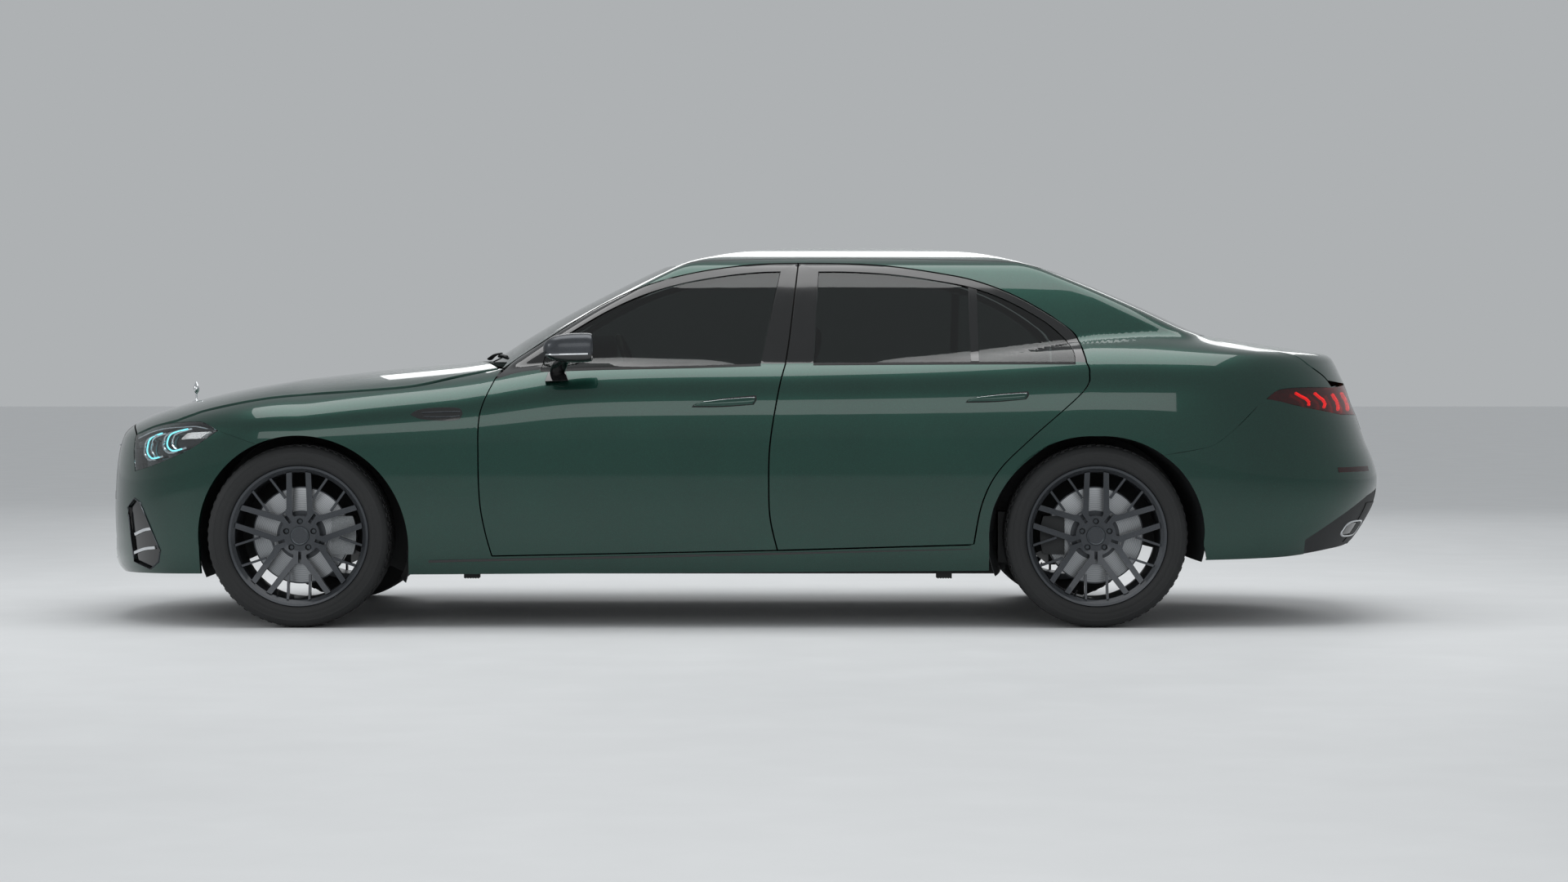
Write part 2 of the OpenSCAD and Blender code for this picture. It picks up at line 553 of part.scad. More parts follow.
sill_grid = between(
    straight([front_arch(front_arch_end)[0], sill_low], [rear_arch(rear_arch_start)[0], sill_low + 15],
        len(sill_top) - 1),
    sill_top,
    straight([front_arch(front_arch_end)[0], sill_low], sill_top[0], 3),
    straight([rear_arch(rear_arch_start)[0], sill_low + 15], sill_top[len(sill_top) - 1], 3));
quarter_t = 26;
rail_t = 14;
// Grids with the panel's thickness added: thin at the doors and the boot lid, full in the rear quarter
function wall_t(p) = rail_t + (quarter_t - rail_t) * max(0, min(1, (930 - p[1]) / 60));
function deep(grid) = [for (row = grid) [for (p = row) [p[0], p[1], p[2], wall_t(p)]]];
// The pillar between the doors stands inside them, from the sill to the lower edge of the roof rail
pillar_gap = 7;
pillar_t = 50;
pillar_foot = [[70, 295], [205, 297]];
pillar_head = [for (i = [0:4]) let (x = 165 + 24 * i) [x, cabin_z(x, smooth(EDGE, x)) - rail_t - 4]];
pillar_grid = between(
    straight(pillar_foot[0], pillar_foot[1], 4),
    pillar_head,
    straight(pillar_foot[0], pillar_head[0], 12),
    straight(pillar_foot[1], pillar_head[4], 12));
module body_side_shape() {
    skin([[sill_grid, whole_edges(sill_grid)]],
        function (p) [p[0], side_y(p[0], p[1]), p[1]],
        function (p) [p[0], sill_in, p[1]]);
    skin([[deep(quarter_grid), [["bottom", 0, 21], ["top", 0, 12], ["right", 0, 5], ["left", 0, 5]]],
        [deep(deck_grid), [["bottom", 9, 17], ["right", 0, 4], ["top", 0, 17]]],
        [deep(rail_grid), [["bottom", 0, 36], ["top", 0, 36], ["left", 0, 4]]]],
        function (p) [p[0], side_y(p[0], p[1]), p[1]],
        function (p) let (w = weight(p), n = square_to(p[0], p[1]) * p[3] * (1 - w))
            [p[0] - n[0], side_y(p[0], p[1]) - n[1], p[1] - p[3] * w]);
}
// Pads below the sills, where a jack or a lift bears
jack_x = [-1060, 790];
jack_w = 60;
jack_z = 186;
module jack_pads() {
    for (x = jack_x) translate([x - jack_w / 2, 820 - jack_w / 2, jack_z]) cube([jack_w, jack_w, 50]);
}
module pillar_shape() {
    skin([[pillar_grid, whole_edges(pillar_grid)]],
        function (p) [p[0], side_y(p[0], p[1]) - door_depth(p[1]) - pillar_gap, p[1]],
        function (p) [p[0], side_y(p[0], p[1]) - door_depth(p[1]) - pillar_gap - pillar_t, p[1]]);
}
module body_side_left() {
    color("darkgreen") left() {
        body_side_shape();
        pillar_shape();
        jack_pads();
    }
}
module body_side_right() {
    color("darkgreen") {
        body_side_shape();
        pillar_shape();
        jack_pads();
    }
}

// Panels across the car

function across(y, n, f) = [for (i = [0:n]) let (q = -y + 2 * y * i / n) [f(q), q]];
module cabin_skin(grid, depth) {
    skin([[grid, whole_edges(grid)]],
        function (p) [p[0], p[1], cabin_z(p[0], p[1])],
        function (p) [p[0], p[1], cabin_z(p[0], p[1]) - depth], true);
}
function edge_line(x0, x1, n, s, gap = 0) =
    [for (i = [0:n]) let (x = x0 + (x1 - x0) * i / n) [x, s * (smooth(EDGE, x) - gap)]];
// Grid across the cabin between two places along its edge, held off its neighbours by a gap
function cross_grid(x0, x1, n, y0, y1, m, f0, f1, gap) =
    between(edge_line(x0, x1, n, -1, gap), edge_line(x0, x1, n, 1, gap), across(y0 - gap, m, f0),
        across(y1 - gap, m, f1));
screen_grid = cross_grid(screen_low_corner, screen_top_corner - panel_gap, 14, base_edge, screen_edge, 16,
    function (y) base_x(y), function (y) header_x(y) - panel_gap, panel_gap);
roof_grid = cross_grid(screen_top_corner, back_top_corner, 14, screen_edge, back_edge, 16,
    function (y) header_x(y), function (y) roof_end(y), panel_gap);
back_grid = cross_grid(back_top_corner + panel_gap, back_low_corner, 8, back_edge, back_base_edge, 16,
    function (y) roof_end(y) + panel_gap, function (y) back_low(y), panel_gap);
roof_t = 30;
// The roof with its lining thins to a flange along its edges
function roof_depth(x, y) = roof_t - (roof_t - rail_t) * pow(min(1, abs(y) / (smooth(EDGE, x) - 20)), 6);
module windscreen() { color("dimgray") cabin_skin(screen_grid, glass_t); }
module roof_panel() {
    color("darkgreen") skin([[roof_grid, whole_edges(roof_grid)]],
        function (p) [p[0], p[1], cabin_z(p[0], p[1])],
        function (p) [p[0], p[1], cabin_z(p[0], p[1]) - roof_depth(p[0], p[1])], true);
}
module rear_window() { color("dimgray") cabin_skin(back_grid, glass_t); }

// Bonnet, from its front edge above the grille to its rear edge below the windscreen
bonnet_t = 24;
bonnet_nose_x = -2478;
BONNET_SIDE = [[-2409, 746], [-2326, 780], [-2235, 803], [-2160, 829], [-2083, 852], [-1849, 896],
    [-1550, 920], [-1300, 941], [-1120, 980], [-965, 1008]];
bonnet_side = [for (p = curve(BONNET_SIDE, 18)) [p[0], side_y(p[0], p[1]) - shut_gap]];
bonnet_rear_x = -1102;
bonnet_front_edge = bonnet_side[0][1];
bonnet_rear_edge = bonnet_side[18][1];
function bonnet_front(y) = bonnet_nose_x
    + (bonnet_side[0][0] - bonnet_nose_x) * pow(abs(y) / bonnet_front_edge, 2.6);
function bonnet_rear(y) = bonnet_rear_x
    + (bonnet_side[18][0] - bonnet_rear_x) * pow(abs(y) / bonnet_rear_edge, 2);
bonnet_grid = between(
    [for (p = bonnet_side) [p[0], -p[1]]],
    bonnet_side,
    across(bonnet_front_edge, 16, function (y) bonnet_front(y)),
    across(bonnet_rear_edge, 16, function (y) bonnet_rear(y)));
module bonnet() {
    color("darkgreen") top_skin([[bonnet_grid, whole_edges(bonnet_grid)]], bonnet_t);
}

// Scuttle tray between the bonnet and the windscreen
cowl_drop = 45;
bulkhead_top = 900;
cowl_grid = let (w = base_edge)
    between([[bonnet_rear(w) + shut_gap, -w], [base_x(w), -w]], [[bonnet_rear(w) + shut_gap, w],
        [base_x(w), w]],
        across(w, 16, function (y) bonnet_rear(y) + shut_gap), across(w, 16, function (y) base_x(y)));
module cowl() {
    color("black") skin([[cowl_grid, whole_edges(cowl_grid)]],
        function (p) [p[0], p[1], top_z(p[0], p[1]) - cowl_drop],
        function (p) [p[0], p[1], bulkhead_top + seat_gap], true);
}

// Boot lid: the deck and the upper tail between the lamps
lid_t = 24;
lid_low_z = 760;
lid_step_z = 945;
lid_half_low = 420;
lid_rise = 8;
// The deck's half, as [x, y] places on the surface, and the rear part as [turn, z] places below it
function lid_front(y) = back_low(y) + lid_rise;
lid_side = concat(
    [let (x = lid_front(lid_edge(back_low_corner + lid_rise) - shut_gap)) [x, lid_edge(x) - shut_gap]],
    [for (i = [1:7]) let (x = back_low_corner + (lid_split_x - back_low_corner) * i / 7) [x,
        lid_edge(x) - shut_gap]]);
lid_deck_grid = between(
    [for (i = [0:7]) [lid_front(0) + (lid_split_x - lid_front(0)) * i / 7, 0]],
    lid_side,
    [for (i = [0:8]) let (y = lid_side[0][1] * i / 8) [lid_front(y), y]],
    [for (i = [0:8]) [lid_split_x, lid_side[7][1] * i / 8]]);
lid_corner = beside(concat([[2197, top_z(2197, lid_edge(2197))]], deck_corner), shut_gap);
lid_side_turns = concat(
    [for (x = [lid_split_x, 2197]) let (y = lid_edge(x) - shut_gap, z = top_z(x, y)) [tail_turn_y(y,
        z), z]],
    on_tail(tail(lid_corner)));
lid_rows = len(lid_side_turns) - 1;
LID_MIDDLE = [[0, lid_step_z], [3, 1012], [5, 1045], [6, 1064], [7, 1086], [lid_rows,
    top_z(lid_split_x, 0)]];
lid_end = lid_side_turns[lid_rows];
lid_step = [for (i = [0:8]) [lid_end[0] * i / 8, lid_step_z + (lid_end[1] - lid_step_z) * pow(i / 8, 3)]];
lid_tail_grid = between(
        lid_step,
        [for (i = [0:8]) let (y = lid_side[7][1] * i / 8, z = top_z(lid_split_x, y)) [tail_turn_y(y,
            z), z]],
        [for (j = [0:lid_rows]) [0, smooth(LID_MIDDLE, j)]],
        backwards(lid_side_turns));
// The plate below the step, between the lamps
lid_low_grid = between(
    [for (i = [0:4]) [tail_turn_y(lid_half_low * i / 4, lid_low_z), lid_low_z]],
    [for (i = [0:4]) lid_step[i]],
    straight([0, lid_low_z], lid_step[0], 4),
    [for (j = [0:4]) let (z = lid_low_z + (lid_step[4][1] - lid_low_z) * j / 4) j == 4 ? lid_step[4]
        : [tail_turn_y(lid_half_low, z), z]]);
// Mixed grids: the fourth number is 1 where a place is [x, y] and 0 where it is [turn, z]
function lid_kind(grid, kind) =
    [for (row = grid) [for (p = row) [p[0], p[1], kind == 1 ? 1 : lid_weight(p[1]), kind]]];
function whole_turns(grid) =
    [for (row = grid) concat([for (p = backwards(tail(row))) [-p[0], p[1], p[2], p[3]]], row)];
module boot_lid() {
    deck = lid_deck_grid;
    turned = [for (i = [0:7]) [for (j = [0:8]) deck[j][7 - i]]];
    top = [for (row = lid_kind(turned, 1)) concat([for (p = backwards(tail(row))) [p[0], -p[1], p[2],
        p[3]]], row)];
    low = whole_turns(lid_kind(lid_low_grid, 0));
    rear = concat([for (j = [0:lid_rows - 1]) whole_turns(lid_kind(lid_tail_grid, 0))[j]], [top[0]]);
    color("darkgreen") {
        skin([
            [low, [["bottom", 0, 8], ["right", 0, 4], ["left", 0, 4]]],
            [rear, [["bottom", 0, 4], ["bottom", 12, 16], ["right", 0, lid_rows], ["left", 0, lid_rows]]],
            [top, [["right", 0, 7], ["top", 0, 16], ["left", 0, 7]]]],
            function (p) p[3] == 1 ? [p[0], p[1], top_z(p[0], p[1])] : tail_place(p[0], p[1]),
            function (p) p[3] == 1 ? [p[0], p[1], top_z(p[0], p[1]) - lid_t]
                : tail_in(p[0], p[1], lid_t * (1 - p[2])) - [0, 0, lid_t * p[2]], true);
    }
}

// Nose: bumper, grille and lamps

grille_half = 430;
grille_low_z = 480;
nose_low_z = 190;
function grille_turn(z) = nose_turn_y(grille_half, z);
arch_front_low = [-2122, nose_low_z + 15];
arch_at_grille = front_arch(162);
lamp_n = 10;
lamp_low_turns = on_nose(curve(LAMP_LOW, lamp_n));
cut_low = front_arch(front_arch_cut);
bonnet_line = [for (i = [0:6]) let (y = grille_half + (bonnet_front_edge - grille_half) * i / 6,
    x = bonnet_front(y) - shut_gap, z = top_z(x, y))
    [nose_turn_y(y, z), z]];
bumper_low = between(
    concat(straight([0, nose_low_z], [grille_turn(nose_low_z), nose_low_z], 6),
        tail(straight([grille_turn(nose_low_z), nose_low_z], on_nose([arch_front_low])[0], lamp_n + 6))),
    concat(straight([0, grille_low_z], [grille_turn(grille_low_z), grille_low_z], 6),
        tail(straight([grille_turn(grille_low_z), grille_low_z], on_nose([arch_at_grille])[0],
            lamp_n + 6))),
    straight([0, nose_low_z], [0, grille_low_z], 6),
    on_nose(concat(straight(arch_front_low, front_arch(186), 3),
        tail([for (i = [0:3]) front_arch(186 - 8 * i)]))));
bumper_high = between(
    straight([grille_turn(grille_low_z), grille_low_z], on_nose([arch_at_grille])[0], lamp_n + 6),
    concat(straight([grille_turn(610), 610], lamp_low_turns[0], 4),
        [for (i = [1:lamp_n]) on_nose(curve(LAMP_LOW, lamp_n))[i]],
        on_nose([for (p = [(LAMP_LOW[3] + cut_low) / 2, cut_low]) p - [0, panel_gap]])),
    [for (j = [0:5]) let (z = grille_low_z + (610 - grille_low_z) * j / 5) [grille_turn(z), z]],
    on_nose([for (j = [0:5]) front_arch(162 + (front_arch_cut - 162) * j / 5) - [0,
        j == 5 ? panel_gap : 0]]));
bumper_cheek = let (grid = between(
    straight([grille_turn(610), 610], lamp_low_turns[0], 4),
    [for (i = [0:4]) let (k = i * 1.5) bonnet_line[floor(k)] + (k - floor(k)) * (bonnet_line[min(6,
        floor(k) + 1)] - bonnet_line[floor(k)])],
    [for (j = [0:5]) let (z = 610 + (bonnet_line[0][1] - 610) * j / 5) [grille_turn(z), z]],
    straight(lamp_low_turns[0], bonnet_line[6], 5)))
    [for (j = [0:5]) [for (p = grid[j]) [p[0], p[1], max(0, (j - 3) / 2)]]];
module bumper_front_half() {
    nose_skin([
        [bumper_low, [["bottom", 0, lamp_n + 12], ["right", 0, 6], ["top", 0, 6], ["left", 0, 6]]],
        [bumper_high, [["right", 0, 5], ["top", 4, lamp_n + 6], ["left", 0, 5]]],
        [bumper_cheek, [["right", 0, 5], ["top", 0, 4], ["left", 0, 5]]]], panel_t);
}
module front_bumper() { color("darkgreen") both_sides() bumper_front_half(); }

grille_grid = whole_width([for (j = [0:8])
    [for (i = [0:6]) let (
        y = (grille_half - 2 * panel_gap) * i / 6,
        x_top = bonnet_front(y) - shut_gap,
        z_top = top_z(x_top, y),
        z_low = grille_low_z + panel_gap,
        z = z_low + (z_top - z_low) * j / 8)
        [nose_turn_y(y, z), z, max(0, (j - 6) / 2)]]]);
module grille() {
    color("silver") difference() {
        nose_skin([[grille_grid, whole_edges(grille_grid)]], 34);
        for (k = [0:4]) translate([-2620, -grille_half + 45, 512 + 46 * k])
            cube([200, 2 * grille_half - 90, 30]);
    }
}

lamp_t = 60;
// Turn and height by which the lamp stands off the bumper at its inner end
lamp_off_turn = 1.1;
lamp_off_z = 6;
lamp_grid = let (
        low_line = beside(curve(LAMP_LOW, lamp_n), panel_gap),
        top_line = beside(curve(LAMP_TOP, lamp_n), -panel_gap),
        low_turns = on_nose(low_line),
        top_turns = on_nose(top_line),
        low_tip = on_nose([low_line[lamp_n] - [8, 4]])[0],
        top_tip = on_nose([top_line[lamp_n] - [8, -2]])[0],
        low = [for (i = [0:lamp_n]) i == 0 ? low_turns[0] + [lamp_off_turn, lamp_off_z]
            : i == lamp_n ? low_tip : low_turns[i]],
        top = [for (i = [0:lamp_n]) i == 0 ? bonnet_line[6] + [lamp_off_turn, 0]
            : i == lamp_n ? top_tip : top_turns[i]])
    between(low, top, straight(low[0], top[0], 5), straight(low[lamp_n], top[lamp_n], 5));
module headlamp_shape() {
    grid = [for (j = [0:5]) [for (i = [0:lamp_n])
        [lamp_grid[j][i][0], lamp_grid[j][i][1], max(0, (j - 3) / 2) * max(0, min(1, (7 - i) / 2))]]];
    nose_skin([[grid, whole_edges(grid)]], lamp_t);
}
module headlamps() { color("lightgray") both_sides() headlamp_shape(); }

// Tail: lamps and bumper

tail_lamp_in = 430;
tail_lamp_t = 45;
tail_lamp_z = [820, 940];
tail_lamp_low_line = beside(curve(TAIL_LAMP_LOW, 8), panel_gap / 2);
tail_lamp_top_line = beside(curve(TAIL_LAMP_TOP, 8), -panel_gap);
tail_low_turns = concat([[tail_turn_y(tail_lamp_in, tail_lamp_z[0]), tail_lamp_z[0]]],
    on_tail(backwards(tail_lamp_low_line)));
tail_top_turns = concat([[tail_turn_y(tail_lamp_in, tail_lamp_z[1]), tail_lamp_z[1]]],
    on_tail(backwards(tail_lamp_top_line)));
tail_lamp_grid = let (
        low = concat(straight(tail_low_turns[0], tail_low_turns[1], 4),
            [for (i = [2:9]) tail_low_turns[i]]),
        top = concat(straight(tail_top_turns[0], tail_top_turns[1], 4),
            [for (i = [2:9]) tail_top_turns[i]]),
        low_end = low[11] * 0.2 + low[12] * 0.8,
        top_end = top[11] * 0.2 + top[12] * 0.8)
    between([for (i = [0:12]) i == 12 ? low_end : low[i]], [for (i = [0:12]) i == 12 ? top_end : top[i]],
        straight(low[0], top[0], 3), straight(low_end, top_end, 3));
module tail_lamp_shape() {
    tail_skin([[tail_lamp_grid, whole_edges(tail_lamp_grid)]], tail_lamp_t);
}
module tail_lamps() { color("firebrick") both_sides() tail_lamp_shape(); }

tail_low = [[1809, 261], [1980, 264], [2150, 270], [2330, 290]];
tail_low_z = 300;
rear_gap_z = lid_low_z - shut_gap;
function tail_middle_turn(z) = tail_turn_y(tail_lamp_in, z);
// Middle of the rear bumper, below the boot lid
rear_bumper_middle = [for (j = [0:7]) let (z = tail_low_z + (rear_gap_z - tail_low_z) * j / 7)
    [for (i = [0:6]) [tail_turn_y(tail_lamp_in * i / 6, z), z]]];
rear_bumper_top = beside(concat(backwards(curve(TAIL_LAMP_LOW, 4)), tail(backwards(curve(TAIL_CUT,
    5)))), panel_gap);
rear_bumper_side = let (
        lamp_z = tail_lamp_z[0] - panel_gap,
        low_end = on_tail([tail_low[3]])[0],
        top_end = on_tail([rear_bumper_top[0]])[0],
        low = concat(straight([tail_middle_turn(tail_low_z), tail_low_z], low_end, 3),
            tail(on_tail(backwards(curve(tail_low, 9))))),
        top = concat(straight([tail_middle_turn(lamp_z), lamp_z], top_end, 3),
            tail(on_tail(rear_bumper_top))),
        inner = concat([for (row = rear_bumper_middle) row[6]], [[tail_middle_turn(lamp_z), lamp_z]]))
    between(low, top, inner,
        concat([on_tail([tail_low[0]])[0]], on_tail([for (j = [1:7]) rear_arch(-13 + 62 * j / 8)]),
            [top[12]]));
module rear_bumper_half() {
    tail_skin([
        [rear_bumper_middle, [["bottom", 0, 6], ["top", 0, 6], ["left", 0, 7]]],
        [rear_bumper_side, [["bottom", 0, 12], ["right", 0, 8], ["top", 0, 12], ["left", 7, 8]]]],
            panel_t);
}
module rear_bumper() {
    color("darkgreen") both_sides() rear_bumper_half();
}

// Floor, frames and engine

floor_z = 200;
floor_t = 40;
floor_x = [-1095, 1010];
// Front edge of the rear bench
bench_x = 640;
module floor_pan() {
    color("dimgray") {
        translate([floor_x[0], -sill_in, floor_z]) cube([floor_x[1] - floor_x[0], 2 * sill_in, floor_t]);
        translate([floor_x[0], -130, floor_z + floor_t]) cube([bench_x - seat_gap - floor_x[0], 260, 90]);
        translate([floor_x[0], -700, floor_z + floor_t]) cube([30, 1400,
            bulkhead_top - floor_z - floor_t]);
    }
}
rail_y = 395;
rail_w = 70;
module front_frame() {
    color("dimgray") {
        both_sides() {
            translate([-2440, rail_y, 400]) cube([1345, rail_w, 120]);
            translate([-1900, rail_y + 5, 520]) cube([340, 60, 300]);
        }
        translate([-2490, -470, 420]) cube([50, 940, 80]);
        translate([-2440, -rail_y, 380]) cube([50, 2 * rail_y, 330]);
    }
}
tub_y = 500;
// Plane of the bulkhead behind the rear bench
boot_x = 1215;
shelf_z = 900;
module rear_frame() {
    color("dimgray") {
        translate([floor_x[1], -tub_y, 400]) cube([1400, 2 * tub_y, 25]);
        both_sides() {
            translate([boot_x, tub_y - 25, 425]) cube([1125, 25, 440]);
            translate([floor_x[1], tub_y, 240]) cube([60, 190, 200]);
        }
        translate([boot_x, -tub_y + 25, 425]) cube([30, 2 * tub_y - 50, shelf_z - 425]);
        translate([floor_x[1], -tub_y, 200]) cube([40, 2 * tub_y, 200]);
        translate([boot_x, -620, shelf_z]) cube([520, 1240, 16]);
    }
}
module engine_block() {
    color("gray") translate([-2060, -230, 265 + seat_gap]) cube([700, 460, 530]);
}

// Running gear

// A shape on a wheel's own axis (+Z outwards) set at one of the four wheels
module at_wheel(x, s) {
    translate([x, s * track_half, axle_z]) rotate([-90 * s, 0, 0]) children();
}

rim_in = 126;
lip_out = 112;
bore_r = 22.5;
stub_r = 22;
module tyre_shape() {
    rotate_extrude($fn = 48) polygon([
        [rim_r + 0.5, -105], [rim_r + 1, -118], [300, -127], [325, -127], [345, -118], [353, -104],
            [tyre_r, -88],
        [tyre_r, 88], [353, 104], [345, 118], [325, 127], [300, 127], [rim_r + 3, 118], [rim_r + 0.5,
            112], [rim_r + 0.5, 103],
        [286, 100], [332, 106], [338, 90], [338, -90], [332, -106], [286, -100]]);
}
dish_out = [66, 104];
dish_in = [34, 72];
module dish() {
    rotate_extrude($fn = 72) polygon([
        [0, dish_in[0]], [250, dish_in[1]], [250, dish_out[1] - 2], [225, dish_out[1] - 8],
        [60, dish_out[0]], [0, dish_out[0]]]);
}
module spoke_outline() {
    for (k = [0:4]) rotate(54 + 72 * k) {
        translate([0, -25]) square([112, 50]);
        for (s = [-1, 1]) {
            polygon([[84, s * 2], [84, s * 25], [104, s * 40], [226, s * 132], [240, s * 116], [117,
                s * 22], [104, s * 2]]);
            translate([150, s * 42 - 4.5]) square([105, 9]);
        }
    }
    circle(r = 78, $fn = 72);
}
module rim_shape() {
    rotate_extrude($fn = 72) polygon([
        [247, -rim_in + 2], [272, -rim_in + 2], [272, -rim_in + 8], [256, -rim_in + 12], [252, -60],
            [252, 84],
        [262, 98], [rim_r - 2, 104], [rim_r, lip_out - 2], [rim_r - 3, lip_out], [rim_r - 12,
            lip_out - 2],
        [257, 104], [249, 96], [245, 70], [244, -60], [246, -100]]);
    difference() {
        intersection() {
            dish();
            translate([0, 0, 20]) linear_extrude(100) difference() {
                spoke_outline();
                for (k = [0:4]) rotate(54 + 72 * k) translate([62, -6]) square([44, 12]);
            }
        }
        translate([0, 0, 20]) for (k = [0:4]) rotate(90 + 72 * k) translate([bolt_circle_r, 0, 0])
            cylinder(r = 12, h = 100, $fn = 24);
    }
    translate([0, 0, 18]) cylinder(r = 76, h = 20, $fn = 48);
    for (k = [0:4]) rotate(90 + 72 * k) translate([bolt_circle_r, 0, 30])
        cylinder(r = 8, h = 24, $fn = 24);
    translate([0, 0, 60]) cylinder(r = 37, h = 12, $fn = 48);
    translate([0, 0, -80]) cylinder(r = stub_r, h = 100, $fn = 32);
    translate([0, 0, -16]) cylinder(r = disc_r, h = 32, $fn = 72);
    translate([0, 0, 16]) cylinder(r = 80, h = 4, $fn = 48);
}
module caliper_shape(turn) {
    rotate(turn) intersection() {
        translate([120, -75, -42]) cube([100, 150, 76]);
        difference() {
            translate([0, 0, -42]) cylinder(r = 216, h = 76, $fn = 64);
            translate([0, 0, -21]) cylinder(r = disc_r + 6, h = 42, $fn = 64);
        }
    }
}
pivot_lug_z = 120;
pin_r = 11.5;
module knuckle_shape() {
    difference() {
        union() {
            translate([0, 0, -pivot_in - 26]) cylinder(r = 50, h = 46, $fn = 48);
            for (s = [-1, 1]) translate([-24, s * (pivot_lug_z - 14) - 14, -pivot_in - 26]) cube([48,
                42 - 14, 50]);
            translate([-24, -pivot_lug_z, -pivot_in - 26]) cube([48, 2 * pivot_lug_z, 14]);
        }
        translate([0, 0, -150]) cylinder(r = bore_r, h = 200, $fn = 32);
        for (s = [-1, 1]) translate([0, s * pivot_lug_z, -pivot_in]) rotate([90, 0, 0])
            cylinder(r = pin_r + 0.5, h = 60, center = true, $fn = 32);
    }
}

module tyre_front_left() { color("black") at_wheel(front_x, -1) tyre_shape(); }
module tyre_front_right() { color("black") at_wheel(front_x, 1) tyre_shape(); }
module tyre_rear_left() { color("black") at_wheel(rear_x, -1) tyre_shape(); }
module tyre_rear_right() { color("black") at_wheel(rear_x, 1) tyre_shape(); }
module rim_front_left() { color("gray") at_wheel(front_x, -1) rim_shape(); }
module rim_front_right() { color("gray") at_wheel(front_x, 1) mirror([0, 1, 0]) rim_shape(); }
module rim_rear_left() { color("gray") at_wheel(rear_x, -1) rim_shape(); }
module rim_rear_right() { color("gray") at_wheel(rear_x, 1) mirror([0, 1, 0]) rim_shape(); }
module knuckle_left() {
    color("silver") at_wheel(front_x, -1) { knuckle_shape(); caliper_mount(0); }
}
module knuckle_right() {
    color("silver") at_wheel(front_x, 1) mirror([0, 1, 0]) { knuckle_shape(); caliper_mount(0); }
}
// Caliper with the bracket that holds it to the upright
module caliper_mount(turn) {
    caliper_shape(turn);
    rotate(turn) translate([40, -20, -pivot_in - 20]) cube([130, 40, 30]);
    rotate(turn) translate([140, -20, -pivot_in + 10]) cube([30, 40, 20]);
}
arm_t = 16;
module front_axle() {
    color("dimgray") {
        translate([front_x - 130, -330, 215]) cube([260, 660, 50]);
        both_sides() {
            translate([front_x - 100, 260, 265]) cube([200, 70, 140]);
            for (s = [-1, 1]) translate([front_x, 0, axle_z + s * (pivot_lug_z + 22)]) {
                arm_in = s > 0 ? rail_y + rail_w + seat_gap : 318;
                translate([-26, arm_in, -arm_t / 2]) cube([52, track_half - pivot_in - arm_in, arm_t]);
                translate([0, track_half - pivot_in, -arm_t / 2]) cylinder(r = 26, h = arm_t, $fn = 32);
                translate([0, track_half - pivot_in, s > 0 ? -arm_t / 2 - 28 : arm_t / 2])
                    cylinder(r = pin_r, h = 28, $fn = 32);
            }
        }
    }
}
module rear_axle() {
    color("dimgray") {
        translate([rear_x - 150, -420, 215]) cube([300, 840, 60]);
        translate([rear_x - 110, -110, 275]) cube([220, 220, 125]);
        both_sides() {
            translate([rear_x - 40, 420, 225]) cube([80, track_half - pivot_in - 440, 30]);
            translate([rear_x - 30, 110, axle_z - 30]) cube([60, track_half - pivot_in - 136, 60]);
        }
        for (s = [-1, 1]) at_wheel(rear_x, s) mirror([0, s > 0 ? 1 : 0, 0]) {
            difference() {
                union() {
                    translate([-45, -145, -pivot_in - 26]) cube([90, 215, 14]);
                    translate([0, 0, -pivot_in - 26]) cylinder(r = 50, h = 46, $fn = 48);
                }
                translate([0, 0, -pivot_in - 13]) cylinder(r = bore_r, h = 100, $fn = 32);
            }
            caliper_mount(180);
        }
    }
}

// Cabin

steer_x = -435;
steer_y = -370;
steer_z = 975;
steer_tilt = 24;
steer_r = 185;
shaft_r = 12;
shaft_l = 105;
column_r = 24;
column_top = -48;
module at_steering() { translate([steer_x, steer_y, steer_z]) rotate([0, 90 - steer_tilt,
    0]) children(); }
module steering_wheel() {
    color("black") at_steering() {
        rotate_extrude($fn = 48) translate([steer_r - 15, 0]) circle(r = 15, $fn = 16);
        translate([0, 0, -30]) cylinder(r = 62, h = 34, $fn = 40);
        for (a = [90, 270, 0]) rotate(a) translate([55, -18, -14]) cube([105, 36, 14]);
        translate([0, 0, -shaft_l]) cylinder(r = shaft_r, h = shaft_l - 20, $fn = 32);
    }
}
module dashboard() {
    color("black") {
        difference() {
            union() {
                translate([0, 700, 0]) rotate([90, 0, 0]) linear_extrude(1400) polygon([
                    [-1065, 640], [-700, 640], [-640, 720], [-560, 800], [-560, 900], [-640, 950],
                    [-880, 985], [-910, 890], [-1065, 890]]);
                at_steering() translate([0, 0, column_top - 190]) cylinder(r = column_r, h = 190,
                    $fn = 32);
            }
            at_steering() translate([0, 0, -shaft_l - 5]) cylinder(r = shaft_r + seat_gap, h = 200,
                $fn = 32);
        }
        translate([-700, -120, 330]) cube([780, 240, 330]);
    }
}
module front_seat() {
    hull() {
        translate([-330, -250, 330]) cube([480, 500, 60]);
        translate([-330, -230, 400]) cube([500, 460, 60]);
    }
    translate([0, 230, 0]) rotate([90, 0, 0]) linear_extrude(460) polygon([
        [90, 380], [210, 380], [330, 1010], [250, 1020], [150, 560]]);
    translate([200, -110, 1015]) rotate([0, 12, 0]) cube([80, 220, 170]);
    translate([-200, -180, 240]) cube([300, 360, 90]);
}
module front_seats() { color("saddlebrown") both_sides() translate([0, 390, 0]) front_seat(); }
